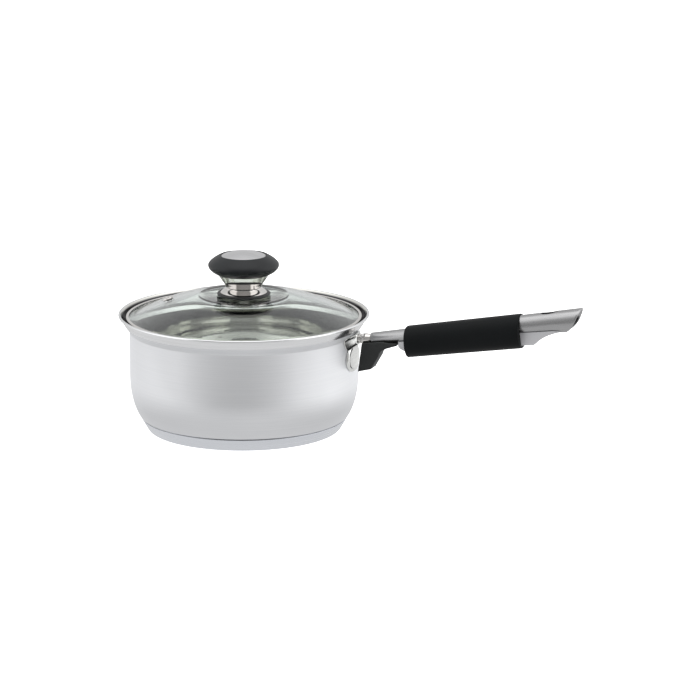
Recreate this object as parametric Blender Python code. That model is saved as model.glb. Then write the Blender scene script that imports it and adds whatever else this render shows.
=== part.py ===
"""A 16 cm saucepan with a glass lid: a stainless pan with an encapsulated base, a tubular steel handle
with a soft grip and a heat guard, and a domed glass lid with a steel rim, a steam vent and a knob.

Origin: the centre of the base's underside. +Z is up, and +X runs out along the handle.
"""

import math

import bmesh
import bpy
import numpy as np
from mathutils import Matrix, Vector

MM = 0.001

# Clearances and round counts
GAP = 0.3 * MM  # between pieces that touch
PAN_STEPS = 40  # sides of everything turned on the pan's and the lid's axis at full width
KNOB_STEPS = 24
SMALL_STEPS = 16

# Pan body
BODY_R = 80.5 * MM  # outside of the straight wall
PAN_H = 82.6 * MM  # from the table to the top of the lip
WALL = 0.8 * MM
LIP_BEAD_R = 1.0 * MM
LIP_OUT = 6.7 * MM  # how far the bead's centre stands outside the wall
FLARE_H = 11.3 * MM  # from the neck up to the bead's centre
BELLY_OUT = 18.0 * MM  # the belly's quarter ellipse, across
BELLY_UP = 35.3 * MM  # and up
BELLY_TOP_Z = 37.7 * MM

# Encapsulated base
CAP_IN = 7.8 * MM  # how far the capsule's lip stands inside the wall
CAP_H = 8.4 * MM
CAP_T = 0.5 * MM
CAP_FOOT_IN = 4.6 * MM  # how far the foot's edge stands inside the capsule's lip
BODY_CORNER_R = 5.5 * MM
BODY_CORNER_TURN = math.radians(55)
DISC_IN = 6.2 * MM  # how far the aluminium disc's edge stands inside the capsule's lip

# Lid
LID_LAP = 2.4 * MM  # how far the steel rim stands outside the pan's wall
BAND_T = 0.5 * MM
BAND_FLANGE = 2.2 * MM
BAND_CORNER_R = 0.8 * MM
GLASS_T = 3.6 * MM
GLASS_RIM = 3.2 * MM  # the flat edge zone that the steel rim grips
DOME_H = 15.7 * MM
DOME_POWER = 1.4
LAND_R = 31.0 * MM
LAND_SINK = 0.5 * MM
LAND_STEP = 2.5 * MM
GLASS_HOLE_R = 4.4 * MM

# Steam vent
VENT_FROM_AXIS = 54.0 * MM
VENT_AZIMUTH = math.radians(190)
VENT_TUBE_R = 2.9 * MM
VENT_BORE_R = 1.9 * MM
VENT_FLANGE_R = 4.3 * MM
VENT_FLANGE_T = 0.8 * MM

# Knob, heights counted from its gasket's underside
GASKET_R = 18.7 * MM
GASKET_BORE_R = 11.9 * MM
GASKET_T = 1.5 * MM
SKIRT_R = 16.3 * MM
WAIST_R = 12.3 * MM
STEM_TOP_R = 18.2 * MM
WAIST_H = 5.3 * MM
COLLAR_H = 3.1 * MM  # the short collar above the waist
COLLAR_FLARE = 1.5 * MM
STEM_H = 14.7 * MM
STEM_T = 0.8 * MM
GRIP_RING_R = 24.9 * MM
GRIP_RING_WIDEST_H = 21.3 * MM
GRIP_RING_H = 28.2 * MM
CAP_DISC_R = 15.6 * MM
CAP_DISC_RISE = 3.2 * MM
CAP_DISC_T = 1.0 * MM
CAP_DISC_SKIRT = 0.9 * MM
CAP_SEAT_SINK = 1.6 * MM  # from the grip ring's top down to the cap's seat
CORE_NECK_R = 9.6 * MM
CORE_HEAD_R = 13.3 * MM
CORE_HEAD_T = 1.9 * MM
INSERT_R = 4.0 * MM
INSERT_H = 12.0 * MM
SCREW_R = 2.5 * MM
SCREW_HEAD_R = 4.8 * MM
SCREW_HEAD_H = 2.4 * MM
SEAL_R = 9.0 * MM
SEAL_T = 1.2 * MM
WASHER_R = 8.0 * MM
WASHER_T = 1.0 * MM

# Handle tube, on its own sloping axis
HANDLE_TILT = math.radians(9.56)
HANDLE_STANDOFF = 14.5 * MM  # from the wall to the tube's mouth
HANDLE_RISE = 0.7 * MM  # the tube's mouth above the pan's neck
TUBE_R = 4.15 * MM  # at its mouth
TUBE_TAPER = 0.0222  # growth of that radius along the tube
TUBE_T = 1.0 * MM
TUBE_STEPS = 20
GRIP_FROM = 26.0 * MM  # from the tube's mouth to the grip
GRIP_LEN = 83.4 * MM
TAIL_LEN = 44.5 * MM
TAIL_SLANT = 8.4 * MM  # of the oblique end, from its tip at the top to its heel
TAIL_HEEL = 5.3 * MM  # how much further the rounded heel is cut back
TAIL_SWELL = 1.1 * MM  # how much deeper the tube gets at its heel
TAIL_BLEND = 8.0 * MM  # over this length
SLOT_BACK = 23.9 * MM  # from the tube's far tip to the hanging slot's centre
SLOT_LEN = 14.8 * MM
SLOT_W = 7.0 * MM

# Grip sleeve and the spine that it closes on
GRIP_DROP = 4.5 * MM  # the sleeve's centre below the tube's axis
GRIP_HALF_H = (TUBE_R + 6.8 * MM, TUBE_R + 7.75 * MM)  # at its front and its back
GRIP_END_LEAN = math.radians(4.4)  # of its ends, from square towards upright
GRIP_ROUND = 2.25  # exponent of its section, where 2 is an ellipse
SPINE_W = 9.4 * MM
GRIP_HALF_W = (TUBE_R + SPINE_W / 2 + 1.35 * MM, TUBE_R + SPINE_W / 2 + 1.95 * MM)
SPINE_DEPTH = 13.4 * MM  # from the tube's axis to the spine's lower edge
SPINE_TAIL_DROP = 1.0 * MM  # how much deeper it is past the grip
SPINE_TAIL_LEN = 28.0 * MM
SPINE_TOP = 3.6 * MM  # its upper edge below the tube's axis

# Bracket, neck and heat guard
PLATE_T = 1.1 * MM
LOBE_HALF_W = 12.0 * MM
LOBE_HALF_H = 10.0 * MM
LOBE_RIM = 1.2 * MM  # the lobe is dished inside this raised rim
LOBE_BELOW_NECK = 14.0 * MM
WING_TOP_HALF_W = 17.8 * MM
WING_FOOT_HALF_W = 11.5 * MM
WING_ABOVE_NECK = 3.0 * MM
WING_BELOW_NECK = 7.8 * MM
MOUTH_OUT = 4.9 * MM  # the bracket's mouth outside the wall
MOUTH_HALF_W = 4.7 * MM
MOUTH_HALF_H = 3.9 * MM
MOUTH_DROP = 1.2 * MM  # its middle below the tube's mouth
MOUTH_CORE_R = 3.3 * MM
NECK_TILT = math.radians(4.8)
NECK_R = 3.8 * MM
NECK_SPIGOT_R = 3.0 * MM
SPIGOT_DEPTH = 1.0 * MM  # into the bracket
NECK_BALL_LEN = 8.2 * MM
SHANK_R = TUBE_R - 1.45 * MM
SHANK_LEN = 16.5 * MM
GUARD_HALF_W = 5.8 * MM
GUARD_DEPTH = 21.6 * MM
GUARD_TOP = 2.1 * MM  # its shoulders below the tube's axis
GUARD_BEVEL = 0.7 * MM
GUARD_TIP_GAP = 6.9 * MM  # from its tongue's tip to the grip
GUARD_SCREW_FROM_MOUTH = 12.0 * MM
GUARD_SCREW_R = 1.3 * MM
GUARD_SCREW_HEAD_R = 2.6 * MM
GUARD_SCREW_HEAD_H = 1.1 * MM
GUARD_SCREW_SEAT = 6.1 * MM  # its head's seat below the tube's axis

# Places that follow from the sizes above
BEAD_Z = PAN_H - LIP_BEAD_R
NECK_Z = BEAD_Z - FLARE_H
CAP_R = BODY_R - CAP_IN
DISC_R = CAP_R - DISC_IN
LID_R = BODY_R + LID_LAP
GRIP_END = GRIP_FROM + GRIP_LEN
TUBE_LEN = GRIP_END + TAIL_LEN
SPIGOT_REACH = HANDLE_STANDOFF - MOUTH_OUT + SPIGOT_DEPTH  # from the tube's mouth
MOUTH = Vector((BODY_R + HANDLE_STANDOFF, 0, NECK_Z + HANDLE_RISE))
HANDLE_FRAME = Matrix.Translation(MOUTH) @ Matrix.Rotation(-HANDLE_TILT, 4, "Y")
NECK_FRAME = Matrix.Translation(MOUTH) @ Matrix.Rotation(-NECK_TILT, 4, "Y")

STAINLESS = ((0.72, 0.73, 0.75), 1.0, 0.25)
POLISHED = ((0.80, 0.80, 0.81), 1.0, 0.08)
SATIN = ((0.60, 0.60, 0.60), 1.0, 0.35)
ALUMINIUM = ((0.78, 0.79, 0.80), 1.0, 0.45)
BRASS = ((0.78, 0.62, 0.32), 1.0, 0.30)
BLACK_SOFT = ((0.020, 0.022, 0.024), 0.0, 0.60)
CHARCOAL = ((0.045, 0.047, 0.050), 0.0, 0.50)
PHENOLIC = ((0.05, 0.05, 0.05), 0.0, 0.45)
LIGHT_GREY = ((0.62, 0.62, 0.63), 0.0, 0.45)
GLASS = ((0.86, 0.93, 0.92), 0.0, 0.02)


# ---------------------------------------------------------------- tools


def clear_scene():
    for obj in list(bpy.data.objects):
        bpy.data.objects.remove(obj, do_unlink=True)


def material(name, look):
    colour, metallic, roughness = look
    made = bpy.data.materials.new(name)
    made.use_nodes = True
    shader = made.node_tree.nodes["Principled BSDF"]
    shader.inputs["Base Color"].default_value = (*colour, 1)
    shader.inputs["Metallic"].default_value = metallic
    shader.inputs["Roughness"].default_value = roughness
    shader.inputs["Transmission Weight"].default_value = 0.95 if look is GLASS else 0.0
    return made


def piece(name, mesh, look):
    """Makes a finished bmesh an object with its own material, smooth except at its real edges."""
    bmesh.ops.remove_doubles(mesh, verts=mesh.verts, dist=1e-7)
    bmesh.ops.recalc_face_normals(mesh, faces=mesh.faces)
    data = bpy.data.meshes.new(name)
    mesh.to_mesh(data)
    mesh.free()
    data.shade_smooth()
    data.set_sharp_from_angle(angle=math.radians(35))
    data.materials.append(material(name, look))
    made = bpy.data.objects.new(name, data)
    bpy.context.scene.collection.objects.link(made)
    return made


def helper(name, mesh):
    """A cutter or an addition: it only shapes another piece."""
    made = piece(name, mesh, PHENOLIC)
    made.hide_render = True
    made.display_type = "WIRE"
    return made


def combine(target, other, operation="DIFFERENCE"):
    modifier = target.modifiers.new(other.name, "BOOLEAN")
    modifier.operation = operation
    modifier.solver = "EXACT"
    modifier.object = other


def turned(points, steps, closed):
    """Spins an (r, z) outline round Z. An open one starts and ends on the axis."""
    mesh = bmesh.new()
    verts = [mesh.verts.new((r, 0, z)) for r, z in points]
    ends = verts[1:] + verts[:1] if closed else verts[1:]
    edges = [mesh.edges.new(pair) for pair in zip(verts, ends)]
    bmesh.ops.spin(
        mesh, geom=verts + edges, cent=(0, 0, 0), axis=(0, 0, 1), angle=math.tau, steps=steps, use_merge=True
    )
    bmesh.ops.remove_doubles(mesh, verts=mesh.verts, dist=1e-7)
    return mesh


def lofted(rings, capped=True):
    """Skins rings of equally many points. Uncapped, the last ring joins the first."""
    mesh = bmesh.new()
    rows = [[mesh.verts.new(point) for point in ring] for ring in rings]
    pairs = zip(rows, rows[1:] if capped else rows[1:] + rows[:1])
    for row, following in pairs:
        for i in range(len(row)):
            j = (i + 1) % len(row)
            mesh.faces.new((row[i], row[j], following[j], following[i]))
    if capped:
        mesh.faces.new(rows[0])
        mesh.faces.new(rows[-1])
    return mesh


def extruded(outline, half_width, bevel=0.0):
    """An (s, w) outline made a slab, its middle on the handle's own upright plane."""
    mesh = bmesh.new()
    face = mesh.faces.new([mesh.verts.new((s, -half_width, w)) for s, w in outline])
    moved = bmesh.ops.extrude_face_region(mesh, geom=[face])["geom"]
    verts = [item for item in moved if isinstance(item, bmesh.types.BMVert)]
    bmesh.ops.translate(mesh, vec=(0, 2 * half_width, 0), verts=verts)
    bmesh.ops.recalc_face_normals(mesh, faces=mesh.faces)
    if bevel:
        rims = [edge for edge in mesh.edges if abs(edge.verts[0].co.y - edge.verts[1].co.y) < 1e-9]
        bmesh.ops.bevel(
            mesh, geom=rims, offset=bevel, affect="EDGES", segments=1, profile=0.5, material=-1
        )
    return mesh


def rod(radius, start, end, steps=SMALL_STEPS):
    return turned([(0, start), (radius, start), (radius, end), (0, end)], steps, False)


def ring_outline(inner, outer, low, high):
    return [(inner, low), (outer, low), (outer, high), (inner, high)]


def arc(centre_r, centre_z, radius, start, end, count):
    """Points on a circle, with angles in degrees counted from +r towards +z."""
    turns = [math.radians(start + (end - start) * i / count) for i in range(count + 1)]
    return [(centre_r + radius * math.cos(t), centre_z + radius * math.sin(t)) for t in turns]


def bezier(a, b, c, d, count):
    rows = []
    for i in range(count + 1):
        t = i / count
        weights = ((1 - t) ** 3, 3 * t * (1 - t) ** 2, 3 * t * t * (1 - t), t**3)
        rows.append(tuple(sum(k * p[j] for k, p in zip(weights, (a, b, c, d))) for j in (0, 1)))
    return rows


def offset(points, distance):
    """Moves an open outline sideways, to the left of its direction."""
    line = np.array(points)
    run = np.diff(line, axis=0)
    normal = np.stack([-run[:, 1], run[:, 0]], 1) / np.linalg.norm(run, axis=1)[:, None]
    before = np.vstack([normal[:1], normal])
    after = np.vstack([normal, normal[-1:]])
    shift = (before + after) / (1 + (before * after).sum(1))[:, None]
    return [tuple(point) for point in line + distance * shift]


def along(mesh, frame):
    mesh.transform(frame)
    return mesh


def shell_inside(outer, distance):
    """The outline inside a shell, with its ends level with the shell's own."""
    inner = offset(outer, distance)
    inner[0] = (inner[0][0], outer[0][1])
    inner[-1] = (inner[-1][0], outer[-1][1])
    return inner


AXIS_TO_X = Matrix.Rotation(math.pi / 2, 4, "Y")  # turns a piece spun round Z onto the handle's axis


# ---------------------------------------------------------------- pan


def body_corner():
    """The rounded corner between the pan's flat bottom and its belly, from the middle outwards."""
    end_r = CAP_R - CAP_T - 1.6 * GAP
    end_z = CAP_H + GAP / 2
    centre_r = end_r - BODY_CORNER_R * math.sin(BODY_CORNER_TURN)
    centre_z = end_z + BODY_CORNER_R * math.cos(BODY_CORNER_TURN)
    return arc(centre_r, centre_z, BODY_CORNER_R, -90, -90 + math.degrees(BODY_CORNER_TURN), 3)


def belly():
    start = math.asin((BELLY_TOP_Z - CAP_H - 5 * GAP) / BELLY_UP)
    turns = [start * (1 - i / 6) for i in range(7)]
    across = BODY_R - BELLY_OUT
    return [(across + BELLY_OUT * math.cos(t), BELLY_TOP_Z - BELLY_UP * math.sin(t)) for t in turns]


def flare():
    top = (BODY_R + LIP_OUT - 0.9 * LIP_BEAD_R, BEAD_Z - 0.9 * LIP_BEAD_R)
    low = (BODY_R, NECK_Z)
    bend = (BODY_R, NECK_Z + 0.115 * FLARE_H)
    swell = (BODY_R + 0.7 * LIP_OUT, NECK_Z + 0.47 * FLARE_H)
    return bezier(low, bend, swell, top, 6)


def body_outline():
    return body_corner() + belly() + flare()


def outer_radius(z):
    """The pan's outside radius at a height above its belly."""
    line = belly() + flare()
    return float(np.interp(z, [p[1] for p in line], [p[0] for p in line]))


def flare_seat(radius):
    """The height at which the flare's inner face has this radius."""
    inner = offset(flare(), WALL)
    return float(np.interp(radius, [p[0] for p in inner], [p[1] for p in inner]))


def make_pan_body():
    outer = body_outline()
    inner = offset(outer, WALL)
    bead = arc(BODY_R + LIP_OUT, BEAD_Z, LIP_BEAD_R, -110, 160, 6)
    floor_out = (0, outer[0][1])
    floor_in = (0, inner[0][1])
    points = [floor_out] + outer + bead + inner[::-1] + [floor_in]
    return piece("pan_body", turned(points, PAN_STEPS, False), STAINLESS)


def capsule_outline():
    foot_r = CAP_R - CAP_FOOT_IN
    return [
        (foot_r - 0.9 * MM, 0),
        (foot_r, 0.5 * MM),
        (foot_r + 0.33 * CAP_FOOT_IN, 0.35 * CAP_H),
        (foot_r + 0.72 * CAP_FOOT_IN, 0.72 * CAP_H),
        (CAP_R, CAP_H),
    ]


def make_base_cap():
    outer = capsule_outline()
    inner = offset([(0, 0)] + outer, CAP_T)
    points = [(0, 0)] + outer + inner[::-1]
    return piece("base_cap", turned(points, PAN_STEPS, False), STAINLESS)


def make_base_disc():
    low = CAP_T + GAP
    high = body_corner()[0][1] - GAP
    edge = 0.6 * MM
    points = [(0, low), (DISC_R - edge, low), (DISC_R, low + edge), (DISC_R, high), (0, high)]
    return piece("base_disc", turned(points, PAN_STEPS, False), ALUMINIUM)


# ---------------------------------------------------------------- lid

BAND_Z = flare_seat(LID_R + GAP) - BAND_CORNER_R / 3
BAND_H = GLASS_T + 2 * (GAP + BAND_T)
GLASS_R = LID_R - BAND_T - GAP
GLASS_EDGE_Z = BAND_Z + BAND_T + GAP
RIM_Z = GLASS_EDGE_Z + GLASS_T
DOME_EDGE_R = GLASS_R - GLASS_RIM
SEAT_Z = RIM_Z + DOME_H - LAND_SINK  # the flat land that the knob stands on
UNDER_Z = SEAT_Z - GLASS_T
KNOB_Z = SEAT_Z + GAP


def dome_z(radius):
    share = (radius - LAND_R) / (DOME_EDGE_R - LAND_R)
    return RIM_Z + DOME_H * (1 - share**DOME_POWER)


def make_lid_glass():
    radii = [LAND_R + (DOME_EDGE_R - LAND_R) * i / 7 for i in range(8)]
    top = [(GLASS_R, RIM_Z)] + [(r, dome_z(r)) for r in reversed(radii)]
    top.append((LAND_R - LAND_STEP, SEAT_Z))
    under = offset(top, GLASS_T)
    under[0] = (GLASS_R, GLASS_EDGE_Z)
    hole = [(GLASS_HOLE_R, SEAT_Z), (GLASS_HOLE_R, UNDER_Z)]
    under[-1] = (under[-1][0], UNDER_Z)
    glass = piece("lid_glass", turned(top + hole + under[::-1], PAN_STEPS, True), GLASS)
    reach = 3 * GLASS_T
    drill = along(rod(VENT_TUBE_R + GAP, -reach, reach), vent_frame())
    combine(glass, helper("vent_drill", drill))
    return glass


def make_lid_band():
    low, high = BAND_Z, BAND_Z + BAND_H
    lap = LID_R - BAND_FLANGE
    r = BAND_CORNER_R
    outer = arc(LID_R - r, low + r, r, -90, 0, 3) + arc(LID_R - r, high - r, r, 0, 90, 3)
    inside = [
        (lap, high - BAND_T),
        (LID_R - BAND_T, high - BAND_T),
        (LID_R - BAND_T, low + BAND_T),
        (lap, low + BAND_T),
    ]
    points = [(lap, low)] + outer + [(lap, high)] + inside
    return piece("lid_band", turned(points, PAN_STEPS, True), POLISHED)


def vent_frame():
    """At the middle of the glass's thickness, with its Z along the dome's normal."""
    step = 0.5 * MM
    slope = (dome_z(VENT_FROM_AXIS + step) - dome_z(VENT_FROM_AXIS - step)) / (2 * step)
    lean = math.atan(slope)
    top = Vector((VENT_FROM_AXIS, 0, dome_z(VENT_FROM_AXIS)))
    inwards = Vector((math.sin(lean), 0, -math.cos(lean))) * GLASS_T / 2
    around = Matrix.Rotation(VENT_AZIMUTH, 4, "Z")
    return around @ Matrix.Translation(top + inwards) @ Matrix.Rotation(-lean, 4, "Y")


def make_vent_eyelet():
    face = GLASS_T / 2 + 1.5 * GAP
    lip = face + VENT_FLANGE_T
    points = [
        (VENT_BORE_R, -lip),
        (VENT_FLANGE_R, -lip),
        (VENT_FLANGE_R, -face),
        (VENT_TUBE_R, -face),
        (VENT_TUBE_R, face),
        (VENT_FLANGE_R, face),
        (VENT_FLANGE_R, face + VENT_FLANGE_T / 2),
        (VENT_FLANGE_R - VENT_FLANGE_T, lip),
        (VENT_BORE_R + VENT_FLANGE_T / 2, lip),
        (VENT_BORE_R, face + VENT_FLANGE_T / 2),
    ]
    eyelet = along(turned(points, SMALL_STEPS, True), vent_frame())
    return piece("vent_eyelet", eyelet, POLISHED)


def make_knob_gasket():
    low, high = KNOB_Z, KNOB_Z + GASKET_T
    edge = GASKET_T / 3
    points = [
        (GASKET_BORE_R, low),
        (GASKET_R - edge, low),
        (GASKET_R, low + edge),
        (GASKET_R, high - edge),
        (GASKET_R - edge, high),
        (GASKET_BORE_R, high),
    ]
    return piece("knob_gasket", turned(points, KNOB_STEPS, True), BLACK_SOFT)


def stem_outline():
    """The stem's outside, from its skirt up past the waist to the grip."""
    low = KNOB_Z + GASKET_T + GAP
    waist = KNOB_Z + WAIST_H
    top = KNOB_Z + STEM_H
    skirt = bezier(
        (SKIRT_R, low),
        (SKIRT_R - 1.0 * MM, low + 0.35 * (waist - low)),
        (WAIST_R + 0.8 * MM, waist - 0.3 * (waist - low)),
        (WAIST_R, waist),
        3,
    )
    collar_r = WAIST_R + COLLAR_FLARE
    collar = waist + COLLAR_H
    cup = bezier(
        (collar_r, collar),
        (collar_r + 0.36 * (STEM_TOP_R - collar_r), collar + 0.3 * (top - collar)),
        (STEM_TOP_R - 0.3 * (STEM_TOP_R - collar_r), top - 0.3 * (top - collar)),
        (STEM_TOP_R, top),
        3,
    )
    return skirt + cup


def make_knob_stem():
    outer = stem_outline()
    points = outer + shell_inside(outer, STEM_T)[::-1]
    return piece("knob_stem", turned(points, KNOB_STEPS, True), POLISHED)


def ring_seat():
    return KNOB_Z + GRIP_RING_H - CAP_SEAT_SINK


def make_knob_grip():
    low = KNOB_Z + STEM_H + GAP
    wide = KNOB_Z + GRIP_RING_WIDEST_H
    top = KNOB_Z + GRIP_RING_H
    seat = ring_seat()
    pocket = seat - CORE_HEAD_T - 2 * GAP
    bore = CORE_NECK_R + GAP
    recess = CAP_DISC_R + GAP
    under = bezier(
        (STEM_TOP_R + 0.6 * MM, low),
        (GRIP_RING_R - 2.6 * MM, low + 0.24 * (wide - low)),
        (GRIP_RING_R, low + 0.6 * (wide - low)),
        (GRIP_RING_R, wide),
        4,
    )
    over = bezier(
        (GRIP_RING_R, wide),
        (GRIP_RING_R, wide + 0.28 * (top - wide)),
        (recess + 5.6 * MM, wide + 0.68 * (top - wide)),
        (recess + 1.1 * MM, top),
        5,
    )
    inside = [
        (recess, top - 0.1 * MM),
        (recess, seat),
        (CORE_HEAD_R + GAP, seat),
        (CORE_HEAD_R + GAP, pocket),
        (bore, pocket),
        (bore, low),
    ]
    return piece("knob_grip", turned(under + over[1:] + inside, KNOB_STEPS, True), CHARCOAL)


def make_knob_cap():
    seat = ring_seat() + GAP
    edge = seat + CAP_DISC_SKIRT
    ball = (CAP_DISC_R**2 + CAP_DISC_RISE**2) / (2 * CAP_DISC_RISE)
    centre = edge + CAP_DISC_RISE - ball
    spread = math.degrees(math.asin(CAP_DISC_R / ball))
    top = arc(0, centre, ball, 90, 90 - spread, 4)
    inner_r = CAP_DISC_R - CAP_DISC_T
    inner_spread = math.degrees(math.asin(inner_r / (ball - CAP_DISC_T)))
    under = arc(0, centre, ball - CAP_DISC_T, 90 - inner_spread, 90, 3)
    points = top + [(CAP_DISC_R, seat), (inner_r, seat)] + under
    points[0] = (0, points[0][1])
    points[-1] = (0, points[-1][1])
    return piece("knob_cap", turned(points, KNOB_STEPS, False), SATIN)


def make_knob_core():
    """The moulded core inside the stem and the grip ring, which holds the threaded insert."""
    foot = KNOB_Z
    waist_z = KNOB_Z + WAIST_H
    shoulder = KNOB_Z + STEM_H
    head_top = ring_seat() - GAP
    head_low = head_top - CORE_HEAD_T
    hole = INSERT_R + GAP
    neck = WAIST_R - STEM_T - 2 * GAP
    cup = [p for p in shell_inside(stem_outline(), STEM_T + GAP) if p[1] > waist_z]
    points = [(hole, foot), (neck, foot), (neck, waist_z)] + cup + [(CORE_NECK_R, shoulder)]
    points += [(CORE_NECK_R, head_low), (CORE_HEAD_R, head_low), (CORE_HEAD_R, head_top), (0, head_top)]
    points += [(0, foot + INSERT_H + 2 * GAP), (hole, foot + INSERT_H + 2 * GAP)]
    mesh = turned_with_pocket(points)
    return piece("knob_core", mesh, PHENOLIC)


def turned_with_pocket(points):
    """An outline that touches the axis at its top and at its pocket's roof: it is opened between them."""
    on_axis = [i for i, (r, _) in enumerate(points) if r == 0]
    first, last = on_axis
    return turned(points[last:] + points[: first + 1], KNOB_STEPS, False)


def make_knob_insert():
    low, high = KNOB_Z + GAP, KNOB_Z + INSERT_H
    points = ring_outline(SCREW_R + GAP, INSERT_R, low, high)
    return piece("knob_insert", turned(points, SMALL_STEPS, True), BRASS)


def make_knob_seal():
    high = UNDER_Z - GAP
    points = ring_outline(SCREW_R + GAP, SEAL_R, high - SEAL_T, high)
    return piece("knob_seal", turned(points, SMALL_STEPS, True), BLACK_SOFT)


def make_knob_washer():
    high = UNDER_Z - 2 * GAP - SEAL_T
    points = ring_outline(SCREW_R + GAP, WASHER_R, high - WASHER_T, high)
    return piece("knob_washer", turned(points, SMALL_STEPS, True), POLISHED)


def screw_outline(radius, head_r, head_h, seat, tip):
    """A pan-head screw, head down, with the driver's round recess in it."""
    low = seat - head_h
    recess = 0.45 * head_r
    return [
        (0, low + 0.55 * head_h),
        (recess, low + 0.55 * head_h),
        (recess, low),
        (0.62 * head_r, low),
        (0.92 * head_r, low + 0.3 * head_h),
        (head_r, low + 0.65 * head_h),
        (head_r, seat),
        (radius, seat),
        (radius, tip - radius / 2),
        (radius / 2, tip),
        (0, tip),
    ]


def make_knob_screw():
    seat = UNDER_Z - 3 * GAP - SEAL_T - WASHER_T
    tip = KNOB_Z + INSERT_H - GAP
    points = screw_outline(SCREW_R, SCREW_HEAD_R, SCREW_HEAD_H, seat, tip)
    return piece("knob_screw", turned(points, SMALL_STEPS, False), POLISHED)


# ---------------------------------------------------------------- handle


def tube_radius(s):
    return TUBE_R + TUBE_TAPER * s


def cut_reach(rise):
    """How far the tube's oblique end reaches, where rise goes from 1 at its top to -1 at its heel."""
    drop = (1 - rise) / 2
    return TUBE_LEN - TAIL_SLANT * drop - TAIL_HEEL * drop**6


def tube_ring(s, inset, end_share=0):
    """One ring of the tube. In the tail, each point goes its own share of the way to the oblique end."""
    ring = []
    for i in range(TUBE_STEPS):
        turn = math.tau * i / TUBE_STEPS
        c, d = math.cos(turn), math.sin(turn)
        reach = s + (cut_reach(d) - s) * end_share
        radius = tube_radius(reach) - inset
        swell = TAIL_SWELL * end_share * (2 - end_share) if d < 0 else 0
        ring.append((reach, radius * c, (radius + swell) * d))
    return ring


def tube_skin(start, inset):
    tail = TUBE_LEN - TAIL_SLANT - TAIL_HEEL - TAIL_BLEND
    straight = [tube_ring(s, inset) for s in (start, tail / 2)]
    return straight + [tube_ring(tail, inset, share) for share in (0, 0.35, 0.7, 1)]


def tube_cutter(name, clearance):
    """The tube's outside with a clearance, for the pieces that close on it."""
    return helper(name, along(lofted(tube_skin(-clearance, -clearance)), HANDLE_FRAME))


def make_handle_tube():
    edge = 0.4 * TUBE_T
    rings = [tube_ring(0, edge)] + tube_skin(edge, 0) + tube_skin(0, TUBE_T)[::-1]
    tube = piece("handle_tube", along(lofted(rings, capped=False), HANDLE_FRAME), SATIN)
    slot = []
    for i in range(SMALL_STEPS):
        turn = math.tau * i / SMALL_STEPS
        across = SLOT_W / 2 * math.sin(turn)
        slot.append((TUBE_LEN - SLOT_BACK + SLOT_LEN / 2 * math.cos(turn), across))
    rise = 2 * tube_radius(TUBE_LEN)
    walls = [[(s, v, w) for s, v in slot] for w in (TUBE_R / 4, rise)]
    combine(tube, helper("slot_cutter", along(lofted(walls), HANDLE_FRAME)))
    screw_hole = rod(GUARD_SCREW_R + GAP, -GUARD_SCREW_SEAT, 0)
    combine(tube, helper("tube_screw_hole", along(screw_hole, guard_screw_frame())))
    return tube


def spine_outline():
    """The spine seen from the side: a short nose, a straight run in the grip and a scooped tail."""
    nose = GRIP_FROM - 6.0 * MM
    run = GRIP_FROM + 3.0 * MM
    corner = GRIP_END + 7.8 * MM
    deep = -SPINE_DEPTH - SPINE_TAIL_DROP
    tip = GRIP_END + SPINE_TAIL_LEN
    skin = -tube_radius(tip)
    tail = bezier(
        (corner, deep),
        (corner + 0.2 * (tip - corner), deep + 0.42 * (skin - deep)),
        (corner + 0.46 * (tip - corner), deep + 0.86 * (skin - deep)),
        (tip, skin),
        5,
    )
    under = [(nose, -4.5 * MM), (nose - 0.6 * MM, -6.6 * MM), (nose + 1.0 * MM, -8.8 * MM)]
    under += [(nose + 5.2 * MM, -11.4 * MM), (run, -SPINE_DEPTH), (GRIP_END, deep + 0.4 * SPINE_TAIL_DROP)]
    return under + tail + [(tip, -SPINE_TOP), (nose, -SPINE_TOP)]


def make_handle_spine():
    mesh = extruded(spine_outline(), SPINE_W / 2)
    spine = piece("handle_spine", along(mesh, HANDLE_FRAME), LIGHT_GREY)
    combine(spine, tube_cutter("spine_cutter", GAP))
    return spine


def grip_ring(share, inset):
    """One section of the sleeve, outside, or inside where inset is its bore's clearance."""
    s = GRIP_FROM + GRIP_LEN * share
    ring = []
    steps = 24
    for i in range(steps):
        turn = math.tau * i / steps
        c, d = math.cos(turn), math.sin(turn)
        if inset is None:
            half_w = GRIP_HALF_W[0] + (GRIP_HALF_W[1] - GRIP_HALF_W[0]) * share
            half_h = GRIP_HALF_H[0] + (GRIP_HALF_H[1] - GRIP_HALF_H[0]) * share
            v = half_w * math.copysign(abs(c) ** (2 / GRIP_ROUND), c)
            w = half_h * math.copysign(abs(d) ** (2 / GRIP_ROUND), d) - GRIP_DROP
        elif d >= 0:
            radius = tube_radius(s) + inset
            v, w = radius * c, radius * d
        else:
            v, w = bore_below(c, d, s, inset)
        ring.append((s + w * math.tan(GRIP_END_LEAN), v, w))
    return ring


def bore_below(c, d, s, inset):
    """The bore under the tube's axis: it narrows from the tube's width to the spine's."""
    deep = SPINE_DEPTH + 0.6 * SPINE_TAIL_DROP * (s - GRIP_FROM) / GRIP_LEN + inset
    narrow = SPINE_W / 2 + inset
    wide = max(tube_radius(s) + inset, narrow)
    fall = min(1.0, -d / 0.86)
    if abs(c) < 0.5:
        return narrow * c / 0.5, -deep
    return math.copysign(wide + (narrow - wide) * fall, c), -deep * fall


def make_handle_grip():
    shares = (0, 0.25, 0.5, 0.75, 1)
    outer = [grip_ring(share, None) for share in shares]
    bore = [grip_ring(share, GAP) for share in shares]
    rings = outer + bore[::-1]
    return piece("handle_grip", along(lofted(rings, capped=False), HANDLE_FRAME), BLACK_SOFT)


# ---------------------------------------------------------------- bracket, neck and heat guard


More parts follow.
